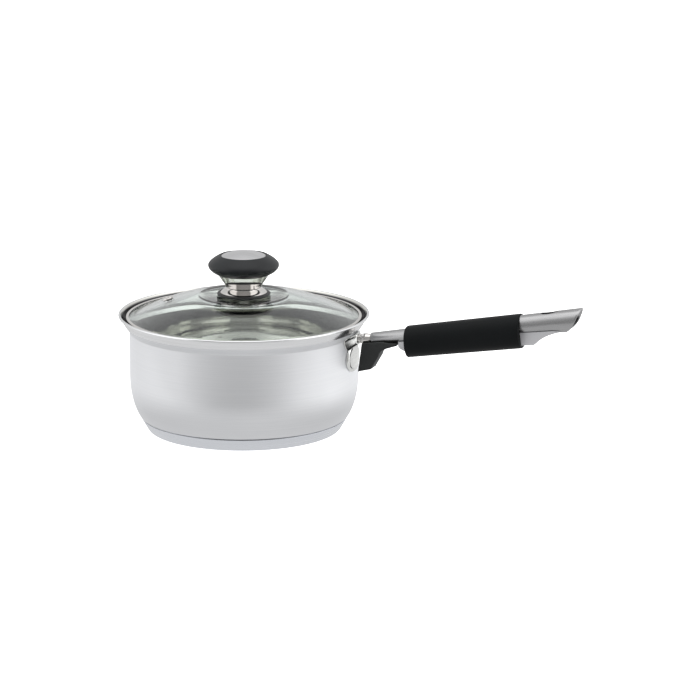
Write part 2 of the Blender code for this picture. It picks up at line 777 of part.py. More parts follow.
def on_wall(p, q, h):
    """A point p round the wall from the handle's plane, at height q and h outside the wall."""
    radius = outer_radius(q) + h
    turn = p / BODY_R
    return (radius * math.cos(turn), radius * math.sin(turn), q)


def boxy(turn):
    """Cosine and sine pushed out towards a square with round corners."""
    c, d = math.cos(turn), math.sin(turn)
    return math.copysign(abs(c) ** 0.5, c), math.copysign(abs(d) ** 0.5, d)


def wing_ring(h, share):
    """The bracket's upper plate: wide under the flare, narrower at its foot."""
    top, foot = NECK_Z + WING_ABOVE_NECK, NECK_Z - WING_BELOW_NECK
    middle, half = (top + foot) / 2, (top - foot) / 2
    ring = []
    for i in range(TUBE_STEPS):
        c, d = boxy(math.tau * i / TUBE_STEPS)
        wide = WING_FOOT_HALF_W + (WING_TOP_HALF_W - WING_FOOT_HALF_W) * (d + 1) / 2
        ring.append(on_wall(share * wide * c, middle + share * half * d, h))
    return ring


def mouth_ring(out, grow):
    ring = []
    for i in range(TUBE_STEPS):
        c, d = boxy(math.tau * i / TUBE_STEPS)
        z = MOUTH.z - MOUTH_DROP + (MOUTH_HALF_H + grow) * d
        ring.append((BODY_R + out, (MOUTH_HALF_W + 2 * grow) * c, z))
    return ring


def make_handle_bracket():
    sunk = -3 * MM
    wing = [wing_ring(sunk, 1), wing_ring(PLATE_T, 1), wing_ring(PLATE_T + 0.4 * MM, 0.86)]
    wing += [mouth_ring(0.85 * MOUTH_OUT, 0.3 * MM), mouth_ring(MOUTH_OUT, 0)]
    bracket = piece("handle_bracket", lofted(wing), POLISHED)
    lobe = []
    lifts = ((1, sunk), (1, PLATE_T), (0.91, PLATE_T + 0.75 * LOBE_RIM), (0.83, PLATE_T + LOBE_RIM))
    lifts += ((0.55, PLATE_T + 0.42 * LOBE_RIM), (0.25, PLATE_T + 0.24 * LOBE_RIM))
    for share, h in lifts:
        ring = []
        for i in range(KNOB_STEPS):
            turn = math.tau * i / KNOB_STEPS
            height = NECK_Z - LOBE_BELOW_NECK + share * LOBE_HALF_H * math.sin(turn)
            ring.append(on_wall(share * LOBE_HALF_W * math.cos(turn), height, h))
        lobe.append(ring)
    combine(bracket, helper("lobe", lofted(lobe)), "UNION")
    combine(bracket, helper("wall_cutter", wall_cutter()))
    socket = along(rod(MOUTH_CORE_R, -SPIGOT_REACH - GAP, 0), NECK_FRAME @ AXIS_TO_X)
    combine(bracket, helper("socket_cutter", socket))
    return bracket


def wall_cutter():
    """The pan's outside with a clearance, where the bracket sits on it."""
    line = [p for p in belly() + flare() if p[1] > BELLY_TOP_Z * 0.8]
    outside = offset(line, -GAP)
    low, high = outside[0][1], outside[-1][1]
    return turned([(0, low)] + outside + [(0, high)], PAN_STEPS, False)


def make_handle_neck():
    """A ball-shaped neck between the bracket and the tube, with a shank inside the tube."""
    ball = NECK_BALL_LEN
    points = [(0, -SPIGOT_REACH), (NECK_SPIGOT_R, -SPIGOT_REACH), (NECK_SPIGOT_R, -ball)]
    points += [(0.86 * NECK_R, -ball), (NECK_R, -0.68 * ball), (NECK_R, -0.4 * ball)]
    points += [(0.9 * NECK_R, -0.18 * ball), (0.72 * NECK_R, -2 * GAP), (0, -2 * GAP)]
    neck = along(turned(points, TUBE_STEPS, False), NECK_FRAME @ AXIS_TO_X)
    made = piece("handle_neck", neck, POLISHED)
    shank = along(rod(SHANK_R, -0.3 * ball, SHANK_LEN, TUBE_STEPS), HANDLE_FRAME @ AXIS_TO_X)
    combine(made, helper("shank", shank), "UNION")
    screw_hole = along(rod(GUARD_SCREW_R + GAP, -GUARD_SCREW_SEAT, SHANK_R / 2), guard_screw_frame())
    combine(made, helper("shank_screw_hole", screw_hole))
    return made


def guard_outline():
    """The heat guard from the side: a heel beside the pan, and a tongue back under the tube."""
    deep = -GUARD_DEPTH
    top = -GUARD_TOP
    tip = GRIP_FROM - GUARD_TIP_GAP
    return [
        (-6.5 * MM, top),
        (-12.5 * MM, deep),
        (-2.9 * MM, deep + 0.8 * MM),
        (-2.2 * MM, deep + 1.2 * MM),
        (-1.8 * MM, deep + 1.9 * MM),
        (4.2 * MM, 0.573 * deep),
        (5.3 * MM, 0.477 * deep),
        (6.9 * MM, 0.407 * deep),
        (8.8 * MM, 0.37 * deep),
        (11.0 * MM, 0.34 * deep),
        (tip - 0.7 * MM, 0.285 * deep),
        (tip, 0.21 * deep),
        (12.0 * MM, -3.4 * MM),
        (8.0 * MM, top),
    ]


def guard_screw_frame():
    """On the tube's axis above the screw, with Z pointing up across the tube."""
    return HANDLE_FRAME @ Matrix.Translation((GUARD_SCREW_FROM_MOUTH, 0, 0))


def make_flame_guard():
    mesh = extruded(guard_outline(), GUARD_HALF_W, GUARD_BEVEL)
    guard = piece("flame_guard", along(mesh, HANDLE_FRAME), CHARCOAL)
    combine(guard, tube_cutter("guard_tube_cutter", GAP))
    collar = along(rod(NECK_R + GAP, -NECK_BALL_LEN - 2 * MM, 1 * MM, TUBE_STEPS), NECK_FRAME @ AXIS_TO_X)
    combine(guard, helper("guard_neck_cutter", collar))
    seat = -GUARD_SCREW_SEAT
    hole = GUARD_SCREW_R + GAP
    well = GUARD_SCREW_HEAD_R + GAP
    points = [(0, -2 * GUARD_DEPTH), (well, -2 * GUARD_DEPTH), (well, seat), (hole, seat), (hole, 0), (0, 0)]
    combine(guard, helper("guard_screw_cutter", along(turned(points, SMALL_STEPS, False), guard_screw_frame())))
    return guard


def make_guard_screw():
    tip = SHANK_R / 2 - GAP
    seat = -GUARD_SCREW_SEAT - GAP
    points = screw_outline(GUARD_SCREW_R, GUARD_SCREW_HEAD_R, GUARD_SCREW_HEAD_H, seat, tip)
    screw = along(turned(points, SMALL_STEPS, False), guard_screw_frame())
    return piece("guard_screw", screw, POLISHED)


def main():
    clear_scene()
    make_pan_body()
    make_base_cap()
    make_base_disc()
    make_handle_bracket()
    make_handle_neck()
    make_handle_tube()
    make_handle_spine()
    make_handle_grip()
    make_flame_guard()
    make_guard_screw()
    make_lid_glass()
    make_lid_band()
    make_vent_eyelet()
    make_knob_gasket()
    make_knob_stem()
    make_knob_grip()
    make_knob_cap()
    make_knob_core()
    make_knob_insert()
    make_knob_seal()
    make_knob_washer()
    make_knob_screw()


main()
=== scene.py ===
import math

import bmesh
import bpy
import numpy as np
from mathutils import Matrix, Vector


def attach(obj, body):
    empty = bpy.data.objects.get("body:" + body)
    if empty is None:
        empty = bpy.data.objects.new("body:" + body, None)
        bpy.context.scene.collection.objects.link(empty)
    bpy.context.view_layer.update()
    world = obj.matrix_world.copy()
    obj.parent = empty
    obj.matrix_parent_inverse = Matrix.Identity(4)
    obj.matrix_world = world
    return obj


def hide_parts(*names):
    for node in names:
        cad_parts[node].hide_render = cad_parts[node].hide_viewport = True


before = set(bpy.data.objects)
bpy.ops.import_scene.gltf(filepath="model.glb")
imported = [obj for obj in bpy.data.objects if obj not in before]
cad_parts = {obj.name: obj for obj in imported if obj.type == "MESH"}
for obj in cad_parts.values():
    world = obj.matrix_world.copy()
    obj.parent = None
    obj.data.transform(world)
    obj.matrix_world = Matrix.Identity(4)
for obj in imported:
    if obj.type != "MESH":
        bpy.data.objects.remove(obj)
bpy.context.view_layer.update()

MM = 0.001
GAP = 0.3 * MM

# Sides of the turned pieces
PAN_SIDES = 160
KNOB_SIDES = 128
TUBE_SIDES = 80
SMALL_SIDES = 48

# Pan
BODY_R = 80.5 * MM
PAN_H = 82.6 * MM
WALL = 0.8 * MM
LIP_BEAD_R = 1.0 * MM
BEAD_DRAWN_R = 0.94 * LIP_BEAD_R  # a finer arc than the plain solid's, kept inside it
LIP_OUT = 6.7 * MM
FLARE_H = 11.3 * MM
BELLY_OUT = 18.0 * MM
BELLY_UP = 35.3 * MM
BELLY_TOP_Z = 37.7 * MM
BEAD_Z = PAN_H - LIP_BEAD_R
NECK_Z = BEAD_Z - FLARE_H
POLISH_FROM_Z = NECK_Z + 4.9 * MM  # the outside is satin below this and polished above

# Encapsulated base
CAP_R = BODY_R - 7.8 * MM
CAP_H = 8.4 * MM
CAP_T = 0.5 * MM
CAP_FOOT_IN = 4.6 * MM
BODY_CORNER_R = 5.5 * MM
BODY_CORNER_TURN = math.radians(55)

# Lid
LID_R = BODY_R + 2.4 * MM
BAND_T = 0.5 * MM
BAND_FLANGE = 2.2 * MM
BAND_CORNER_R = 0.8 * MM
GLASS_T = 3.6 * MM
GLASS_RIM = 3.2 * MM
DOME_H = 15.7 * MM
DOME_POWER = 1.4
LAND_R = 31.0 * MM
LAND_SINK = 0.5 * MM
LAND_STEP = 2.5 * MM
GLASS_HOLE_R = 4.4 * MM
VENT_FROM_AXIS = 54.0 * MM
VENT_AZIMUTH = math.radians(190)
VENT_TUBE_R = 2.9 * MM
VENT_BORE_R = 1.9 * MM
VENT_FLANGE_R = 4.3 * MM
VENT_FLANGE_T = 0.8 * MM

# Knob, heights counted from its gasket's underside
GASKET_R = 18.7 * MM
GASKET_BORE_R = 11.9 * MM
GASKET_T = 1.5 * MM
SKIRT_R = 16.3 * MM
WAIST_R = 12.3 * MM
STEM_TOP_R = 18.2 * MM
WAIST_H = 5.3 * MM
COLLAR_H = 3.1 * MM
COLLAR_FLARE = 1.5 * MM
STEM_H = 14.7 * MM
STEM_T = 0.8 * MM
GRIP_RING_R = 24.9 * MM
GRIP_RING_WIDEST_H = 21.3 * MM
GRIP_RING_H = 28.2 * MM
CAP_DISC_R = 15.6 * MM
CAP_DISC_RISE = 3.2 * MM
CAP_DISC_T = 1.0 * MM
CAP_DISC_SKIRT = 0.9 * MM
CAP_SEAT_SINK = 1.6 * MM
CORE_NECK_R = 9.6 * MM
CORE_HEAD_R = 13.3 * MM
CORE_HEAD_T = 1.9 * MM
INSERT_H = 12.0 * MM
SCREW_R = 2.5 * MM
SCREW_HEAD_R = 4.8 * MM
SCREW_HEAD_H = 2.4 * MM
SEAL_R = 9.0 * MM
SEAL_T = 1.2 * MM
WASHER_R = 8.0 * MM
WASHER_T = 1.0 * MM

# Handle
HANDLE_TILT = math.radians(9.56)
HANDLE_STANDOFF = 14.5 * MM
HANDLE_RISE = 0.7 * MM
TUBE_R = 4.15 * MM
TUBE_TAPER = 0.0222
TUBE_T = 1.0 * MM
GRIP_FROM = 26.0 * MM
GRIP_LEN = 83.4 * MM
TAIL_LEN = 44.5 * MM
TAIL_SLANT = 8.4 * MM
TAIL_HEEL = 5.3 * MM
TAIL_SWELL = 1.1 * MM
TAIL_BLEND = 8.0 * MM
SLOT_BACK = 23.9 * MM
SLOT_LEN = 14.8 * MM
SLOT_W = 7.0 * MM
GRIP_DROP = 4.5 * MM
GRIP_HALF_H = (TUBE_R + 6.8 * MM, TUBE_R + 7.75 * MM)
GRIP_END_LEAN = math.radians(4.4)
GRIP_ROUND = 2.25
GRIP_EDGE_R = 0.9 * MM
SLEEVE_SIDES = 96
SPINE_W = 9.4 * MM
SPINE_BEVEL = 0.6 * MM
GRIP_HALF_W = (TUBE_R + SPINE_W / 2 + 1.35 * MM, TUBE_R + SPINE_W / 2 + 1.95 * MM)
SPINE_DEPTH = 13.4 * MM
SPINE_TAIL_DROP = 1.0 * MM
SPINE_TAIL_LEN = 28.0 * MM
SPINE_TOP = 3.6 * MM

# Bracket, neck and heat guard
PLATE_T = 1.1 * MM
PLATE_SUNK = -3.0 * MM  # how far the blanks start inside the wall, before it is cut away
LOBE_HALF_W = 12.0 * MM
LOBE_HALF_H = 10.0 * MM
LOBE_RIM = 1.2 * MM
LOBE_BELOW_NECK = 14.0 * MM
WING_TOP_HALF_W = 17.8 * MM
WING_FOOT_HALF_W = 11.5 * MM
WING_ABOVE_NECK = 3.0 * MM
WING_BELOW_NECK = 7.8 * MM
MOUTH_OUT = 4.9 * MM
MOUTH_HALF_W = 4.7 * MM
MOUTH_HALF_H = 3.9 * MM
MOUTH_DROP = 1.2 * MM
MOUTH_CORE_R = 3.3 * MM
NECK_TILT = math.radians(4.8)
NECK_R = 3.8 * MM
NECK_SPIGOT_R = 3.0 * MM
SPIGOT_DEPTH = 1.0 * MM
NECK_BALL_LEN = 8.2 * MM
SHANK_R = TUBE_R - 1.45 * MM
SHANK_LEN = 16.5 * MM
GUARD_HALF_W = 5.8 * MM
GUARD_DEPTH = 21.6 * MM
GUARD_TOP = 2.1 * MM
GUARD_BEVEL = 0.7 * MM
GUARD_TIP_GAP = 6.9 * MM
GUARD_SCREW_FROM_MOUTH = 12.0 * MM
GUARD_SCREW_R = 1.3 * MM
GUARD_SCREW_HEAD_R = 2.6 * MM
GUARD_SCREW_HEAD_H = 1.1 * MM
GUARD_SCREW_SEAT = 6.1 * MM

GRIP_END = GRIP_FROM + GRIP_LEN
TUBE_LEN = GRIP_END + TAIL_LEN
SPIGOT_REACH = HANDLE_STANDOFF - MOUTH_OUT + SPIGOT_DEPTH
MOUTH = Vector((BODY_R + HANDLE_STANDOFF, 0, NECK_Z + HANDLE_RISE))
HANDLE_FRAME = Matrix.Translation(MOUTH) @ Matrix.Rotation(-HANDLE_TILT, 4, "Y")
NECK_FRAME = Matrix.Translation(MOUTH) @ Matrix.Rotation(-NECK_TILT, 4, "Y")
AXIS_TO_X = Matrix.Rotation(math.pi / 2, 4, "Y")


# ---------------------------------------------------------------- shaping


def spun(points, sides, closed=False):
    """Turns an (r, z) outline round Z. An open one starts and ends on the axis."""
    mesh = bmesh.new()
    verts = [mesh.verts.new((r, 0, z)) for r, z in points]
    ends = verts[1:] + verts[:1] if closed else verts[1:]
    edges = [mesh.edges.new(pair) for pair in zip(verts, ends)]
    bmesh.ops.spin(
        mesh, geom=verts + edges, cent=(0, 0, 0), axis=(0, 0, 1), angle=math.tau, steps=sides, use_merge=True
    )
    bmesh.ops.remove_doubles(mesh, verts=mesh.verts, dist=1e-7)
    bmesh.ops.recalc_face_normals(mesh, faces=mesh.faces)
    return mesh


def skinned(rings, closed=False):
    """Bridges rings of points. Open, its two ends are filled; closed, the last ring joins the first."""
    mesh = bmesh.new()
    loops = []
    for ring in rings:
        verts = [mesh.verts.new(point) for point in ring]
        loops.append([mesh.edges.new(pair) for pair in zip(verts, verts[1:] + verts[:1])])
    for loop, following in zip(loops, loops[1:] + (loops[:1] if closed else [])):
        bmesh.ops.bridge_loops(mesh, edges=loop + following)
    if not closed:
        for loop in (loops[0], loops[-1]):
            bmesh.ops.contextual_create(mesh, geom=loop)
    bmesh.ops.recalc_face_normals(mesh, faces=mesh.faces)
    return mesh


def slab(outline, half_width, bevel, segments):
    """An (s, w) outline made a slab with rounded rims, on the handle's own upright plane."""
    mesh = bmesh.new()
    verts = [mesh.verts.new((s, -half_width, w)) for s, w in outline]
    edges = [mesh.edges.new(pair) for pair in zip(verts, verts[1:] + verts[:1])]
    face = bmesh.ops.contextual_create(mesh, geom=edges)["faces"]
    moved = bmesh.ops.extrude_face_region(mesh, geom=face)["geom"]
    bmesh.ops.translate(
        mesh, vec=(0, 2 * half_width, 0), verts=[item for item in moved if isinstance(item, bmesh.types.BMVert)]
    )
    bmesh.ops.recalc_face_normals(mesh, faces=mesh.faces)
    rims = [edge for edge in mesh.edges if abs(edge.verts[0].co.y - edge.verts[1].co.y) < 1e-9]
    bmesh.ops.bevel(
        mesh, geom=rims, offset=bevel, affect="EDGES", segments=segments, profile=0.5, material=-1
    )
    return mesh


def placed(mesh, placement):
    mesh.transform(placement)
    return mesh


def rod(radius, start, end, sides=SMALL_SIDES):
    return spun([(0, start), (radius, start), (radius, end), (0, end)], sides)


def arc(centre_r, centre_z, radius, start, end, count):
    turns = [math.radians(start + (end - start) * i / count) for i in range(count + 1)]
    return [(centre_r + radius * math.cos(t), centre_z + radius * math.sin(t)) for t in turns]


def bezier(a, b, c, d, count):
    rows = []
    for i in range(count + 1):
        t = i / count
        weights = ((1 - t) ** 3, 3 * t * (1 - t) ** 2, 3 * t * t * (1 - t), t**3)
        rows.append(tuple(sum(k * p[j] for k, p in zip(weights, (a, b, c, d))) for j in (0, 1)))
    return rows


def offset(points, distance):
    """Moves an open outline sideways, to the left of its direction."""
    line = np.array(points)
    run = np.diff(line, axis=0)
    normal = np.stack([-run[:, 1], run[:, 0]], 1) / np.linalg.norm(run, axis=1)[:, None]
    before = np.vstack([normal[:1], normal])
    after = np.vstack([normal, normal[-1:]])
    shift = (before + after) / (1 + (before * after).sum(1))[:, None]
    return [tuple(point) for point in line + distance * shift]


def piece(name, mesh, body, node, finish, smooth_to=35):
    """Makes a mesh a piece that rides on a body and stands for its CAD node."""
    data = bpy.data.meshes.new(name)
    mesh.to_mesh(data)
    mesh.free()
    data.shade_smooth()
    data.set_sharp_from_angle(angle=math.radians(smooth_to))
    data.materials.append(finish)
    made = bpy.data.objects.new(name, data)
    bpy.context.scene.collection.objects.link(made)
    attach(made, body)
    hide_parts(node)
    return made


def carved(mesh, other, operation="DIFFERENCE"):
    """Cuts one mesh with another, or joins them, and gives the result."""
    objects = []
    for source in (mesh, other):
        data = bpy.data.meshes.new("blank")
        source.to_mesh(data)
        source.free()
        objects.append(bpy.data.objects.new("blank", data))
        bpy.context.scene.collection.objects.link(objects[-1])
    cut = objects[0].modifiers.new("cut", "BOOLEAN")
    cut.operation = operation
    cut.solver = "EXACT"
    cut.object = objects[1]
    bpy.context.view_layer.update()
    result = bpy.data.meshes.new_from_object(objects[0].evaluated_get(bpy.context.evaluated_depsgraph_get()))
    shaped = bmesh.new()
    shaped.from_mesh(result)
    for blank in objects:
        bpy.data.objects.remove(blank, do_unlink=True)
    return shaped


# ---------------------------------------------------------------- outlines that pieces share


def body_corner():
    end_r = CAP_R - CAP_T - 1.6 * GAP
    end_z = CAP_H + GAP / 2
    centre_r = end_r - BODY_CORNER_R * math.sin(BODY_CORNER_TURN)
    centre_z = end_z + BODY_CORNER_R * math.cos(BODY_CORNER_TURN)
    return arc(centre_r, centre_z, BODY_CORNER_R, -90, -90 + math.degrees(BODY_CORNER_TURN), 10)


def belly():
    start = math.asin((BELLY_TOP_Z - CAP_H - 5 * GAP) / BELLY_UP)
    turns = [start * (1 - i / 36) for i in range(37)]
    across = BODY_R - BELLY_OUT
    return [(across + BELLY_OUT * math.cos(t), BELLY_TOP_Z - BELLY_UP * math.sin(t)) for t in turns]


def flare():
    top = (BODY_R + LIP_OUT - 0.9 * LIP_BEAD_R, BEAD_Z - 0.9 * LIP_BEAD_R)
    low = (BODY_R, NECK_Z)
    bend = (BODY_R, NECK_Z + 0.115 * FLARE_H)
    swell = (BODY_R + 0.7 * LIP_OUT, NECK_Z + 0.47 * FLARE_H)
    return bezier(low, bend, swell, top, 28)


def outer_radius(z):
    line = belly() + flare()
    return float(np.interp(z, [p[1] for p in line], [p[0] for p in line]))


def flare_seat(radius):
    inner = offset(flare(), WALL)
    return float(np.interp(radius, [p[0] for p in inner], [p[1] for p in inner]))


BAND_Z = flare_seat(LID_R + GAP) - BAND_CORNER_R / 3
BAND_H = GLASS_T + 2 * (GAP + BAND_T)
GLASS_R = LID_R - BAND_T - GAP
GLASS_EDGE_Z = BAND_Z + BAND_T + GAP
RIM_Z = GLASS_EDGE_Z + GLASS_T
DOME_EDGE_R = GLASS_R - GLASS_RIM
SEAT_Z = RIM_Z + DOME_H - LAND_SINK
UNDER_Z = SEAT_Z - GLASS_T
KNOB_Z = SEAT_Z + GAP


# ---------------------------------------------------------------- finishes


def new_group(name, takes, gives):
    group = bpy.data.node_groups.new(name, "ShaderNodeTree")
    for label, kind, value in takes:
        socket = group.interface.new_socket(label, in_out="INPUT", socket_type=kind)
        if value is not None:
            socket.default_value = value
    for label, kind in gives:
        group.interface.new_socket(label, in_out="OUTPUT", socket_type=kind)
    return group, group.nodes.new("NodeGroupInput"), group.nodes.new("NodeGroupOutput")


def node(tree, kind, settings=(), **inputs):
    made = tree.nodes.new(kind)
    for key, value in settings:
        setattr(made, key, value)
    for key, value in inputs.items():
        numbered = key[0] == "i" and key[1:].isdigit()
        socket = made.inputs[int(key[1:]) if numbered else key.replace("_", " ")]
        if isinstance(value, bpy.types.NodeSocket):
            tree.links.new(value, socket)
        else:
            socket.default_value = value
    return made


def maths(tree, operation, a, b=None, c=None, clamp=False):
    values = {f"i{i}": v for i, v in enumerate((a, b, c)) if v is not None}
    return node(tree, "ShaderNodeMath", [("operation", operation), ("use_clamp", clamp)], **values).outputs[0]


def spread(tree, value, low, high, to_low, to_high):
    made = node(
        tree, "ShaderNodeMapRange", Value=value, From_Min=low, From_Max=high, To_Min=to_low, To_Max=to_high
    )
    return made.outputs["Result"]


def brushed_group():
    """Fine scratches stretched one way, with broader worn patches: a mask, and the normal they give."""
    group, takes, gives = new_group(
        "brushed_grain",
        [
            ("Vector", "NodeSocketVector", None),
            ("Stretch", "NodeSocketVector", None),
            ("Depth", "NodeSocketFloat", 0.05),
        ],
        [("Scratch", "NodeSocketFloat"), ("Patch", "NodeSocketFloat"), ("Normal", "NodeSocketVector")],
    )
    stretched = node(
        group, "ShaderNodeVectorMath", [("operation", "MULTIPLY")],
        i0=takes.outputs["Vector"], i1=takes.outputs["Stretch"],
    ).outputs[0]
    fine = node(group, "ShaderNodeTexNoise", Vector=stretched, Scale=1.0, Detail=4.0, Roughness=0.65).outputs[0]
    patch = node(
        group, "ShaderNodeTexNoise", Vector=takes.outputs["Vector"], Scale=38.0, Detail=3.0, Roughness=0.5
    ).outputs[0]
    bump = node(group, "ShaderNodeBump", Strength=takes.outputs["Depth"], Distance=0.0002, Height=fine)
    group.links.new(fine, gives.inputs["Scratch"])
    group.links.new(patch, gives.inputs["Patch"])
    group.links.new(bump.outputs[0], gives.inputs["Normal"])
    return group


def moulded_group():
    """The fine stipple of moulded plastic and rubber: a mask of its pits, cloudy handling marks, a normal."""
    group, takes, gives = new_group(
        "moulded_grain",
        [
            ("Vector", "NodeSocketVector", None),
            ("Fineness", "NodeSocketFloat", 2600.0),
            ("Depth", "NodeSocketFloat", 0.12),
        ],
        [("Pits", "NodeSocketFloat"), ("Cloud", "NodeSocketFloat"), ("Normal", "NodeSocketVector")],
    )
    pits = node(
        group, "ShaderNodeTexNoise", Vector=takes.outputs["Vector"], Scale=takes.outputs["Fineness"],
        Detail=2.0, Roughness=0.6,
    ).outputs[0]
    cloud = node(
        group, "ShaderNodeTexNoise", Vector=takes.outputs["Vector"], Scale=55.0, Detail=4.0, Roughness=0.55
    ).outputs[0]
    bump = node(group, "ShaderNodeBump", Strength=takes.outputs["Depth"], Distance=0.0001, Height=pits)
    group.links.new(pits, gives.inputs["Pits"])
    group.links.new(cloud, gives.inputs["Cloud"])
    group.links.new(bump.outputs[0], gives.inputs["Normal"])
    return group


BRUSHED = brushed_group()
MOULDED = moulded_group()


def blank_finish(name, metallic=0.0, **values):
    made = bpy.data.materials.new(name)
    made.use_nodes = True
    shader = made.node_tree.nodes["Principled BSDF"]
    shader.inputs["Metallic"].default_value = metallic
    for key, value in values.items():
        shader.inputs[key.replace("_", " ")].default_value = value
    return made, made.node_tree, shader


def local_place(tree, tilt=0.0):
    """The piece's own coordinates, turned so that X runs along the handle when it is tilted."""
    place = node(tree, "ShaderNodeTexCoord").outputs["Object"]
    if tilt:
        return node(tree, "ShaderNodeMapping", Vector=place, Rotation=(0, tilt, 0)).outputs[0]
    return place


def mix_colour(tree, share, first, second):
    made = node(tree, "ShaderNodeMix", [("data_type", "RGBA")])
    for key, value in (("Factor", share), ("A", first), ("B", second)):
        kind = "VALUE" if key == "Factor" else "RGBA"
        socket = next(s for s in made.inputs if s.name == key and s.type == kind)
        if isinstance(value, bpy.types.NodeSocket):
            tree.links.new(value, socket)
        else:
            socket.default_value = value if key == "Factor" else (*value, 1)
    return next(s for s in made.outputs if s.type == "RGBA")


def brushed_steel(name, dark, light, roughness, stretch, depth, tilt=0.0, vary=0.06):
    """Steel with a brushed or polished face: colour and gloss follow its scratches and worn patches."""
    made, tree, shader = blank_finish(name, metallic=1.0)
    grain = node(
        tree, "ShaderNodeGroup", [("node_tree", BRUSHED)],
        Vector=local_place(tree, tilt), Stretch=stretch, Depth=depth,
    )
    scratch, patch, normal = grain.outputs
    tint = mix_colour(tree, spread(tree, scratch, 0.3, 0.7, 0.0, 1.0), dark, light)
    tree.links.new(tint, shader.inputs["Base Color"])
    soft = maths(tree, "ADD", maths(tree, "MULTIPLY", scratch, 0.6), maths(tree, "MULTIPLY", patch, 0.4))
    gloss = spread(tree, soft, 0.3, 0.7, roughness - vary / 2, roughness + vary / 2)
    tree.links.new(gloss, shader.inputs["Roughness"])
    tree.links.new(normal, shader.inputs["Normal"])
    return made


def moulded(name, dark, light, roughness, fineness, depth, tilt=0.0, gloss=0.5):
    """Moulded plastic or rubber with a stippled face and faint handling marks."""
    made, tree, shader = blank_finish(name, Specular_IOR_Level=gloss)
    grain = node(
        tree, "ShaderNodeGroup", [("node_tree", MOULDED)],
        Vector=local_place(tree, tilt), Fineness=fineness, Depth=depth,
    )
    pits, cloud, normal = grain.outputs
    shade = maths(tree, "ADD", maths(tree, "MULTIPLY", cloud, 0.7), maths(tree, "MULTIPLY", pits, 0.3))
    tint = mix_colour(tree, spread(tree, shade, 0.35, 0.65, 0.0, 1.0), dark, light)
    tree.links.new(tint, shader.inputs["Base Color"])
    tree.links.new(spread(tree, cloud, 0.3, 0.7, roughness - 0.05, roughness + 0.05), shader.inputs["Roughness"])
    tree.links.new(normal, shader.inputs["Normal"])
    return made


def pan_outside():
    """Satin steel brushed round the pan, so that its gloss spreads up and down."""
    made, tree, shader = blank_finish("pan_satin_steel", metallic=1.0, Anisotropic=0.95)
    turn = node(tree, "ShaderNodeTangent", [("direction_type", "RADIAL"), ("axis", "Z")])
    tree.links.new(turn.outputs[0], shader.inputs["Tangent"])
    grain = node(
        tree, "ShaderNodeGroup", [("node_tree", BRUSHED)],
        Vector=local_place(tree), Stretch=(14.0, 14.0, 1500.0), Depth=0.03,
    )
    scratch, patch, normal = grain.outputs
    tint = mix_colour(tree, spread(tree, scratch, 0.3, 0.7, 0.0, 1.0), (0.775, 0.785, 0.805), (0.825, 0.832, 0.850))
    tree.links.new(tint, shader.inputs["Base Color"])
    soft = maths(tree, "ADD", maths(tree, "MULTIPLY", scratch, 0.5), maths(tree, "MULTIPLY", patch, 0.5))
    tree.links.new(spread(tree, soft, 0.3, 0.7, 0.37, 0.43), shader.inputs["Roughness"])
    tree.links.new(normal, shader.inputs["Normal"])
    return made


def pan_inside():
    """Mirror steel, drawn a little uneven, with painted shade: a near-black ring painted where the lid's rim beds in
    the flare.
    """
    made, tree, shader = blank_finish("pan_mirror_inside", metallic=1.0)
    place = local_place(tree)
    grain = node(
        tree, "ShaderNodeGroup", [("node_tree", BRUSHED)], Vector=place, Stretch=(9.0, 9.0, 900.0), Depth=0.004
    )
    scratch, patch, normal = grain.outputs
    tint = mix_colour(tree, spread(tree, scratch, 0.3, 0.7, 0.0, 1.0), (0.70, 0.695, 0.655), (0.78, 0.775, 0.74))
    # painted shade: a band of heights round the lid band's seat is coloured near black in place of the shadow in the
    # gap between rim and flare; it stays there when the lid is lifted
    height = node(tree, "ShaderNodeSeparateXYZ", Vector=place).outputs["Z"]
    above = spread(tree, height, BAND_Z - 2.0 * MM, BAND_Z - 1.0 * MM, 0.0, 1.0)
    below = spread(tree, height, BAND_Z + BAND_H - 0.2 * MM, BAND_Z + BAND_H + 0.9 * MM, 1.0, 0.0)
    painted_seat_shade = maths(tree, "MULTIPLY", above, below)
    tree.links.new(mix_colour(tree, painted_seat_shade, tint, (0.045, 0.045, 0.05)), shader.inputs["Base Color"])
    tree.links.new(spread(tree, patch, 0.3, 0.7, 0.03, 0.07), shader.inputs["Roughness"])
    wave = node(tree, "ShaderNodeVectorMath", [("operation", "MULTIPLY")], i0=place, i1=(1.0, 1.0, 0.12)).outputs[0]
    drawn = node(tree, "ShaderNodeTexNoise", Vector=wave, Scale=60.0, Detail=1.5, Roughness=0.4).outputs[0]
    bump = node(tree, "ShaderNodeBump", Strength=0.35, Distance=0.0012, Height=drawn, Normal=normal)
    tree.links.new(bump.outputs[0], shader.inputs["Normal"])
    return made


def clear_glass():
    made, tree, shader = blank_finish("tempered_glass", Transmission_Weight=1.0, IOR=1.45)
    place = local_place(tree)
    cloud = node(tree, "ShaderNodeTexNoise", Vector=place, Scale=30.0, Detail=2.0).outputs[0]
    tree.links.new(mix_colour(tree, cloud, (0.90, 0.955, 0.945), (0.93, 0.97, 0.965)), shader.inputs["Base Color"])
    tree.links.new(spread(tree, cloud, 0.3, 0.7, 0.0, 0.02), shader.inputs["Roughness"])
    return made


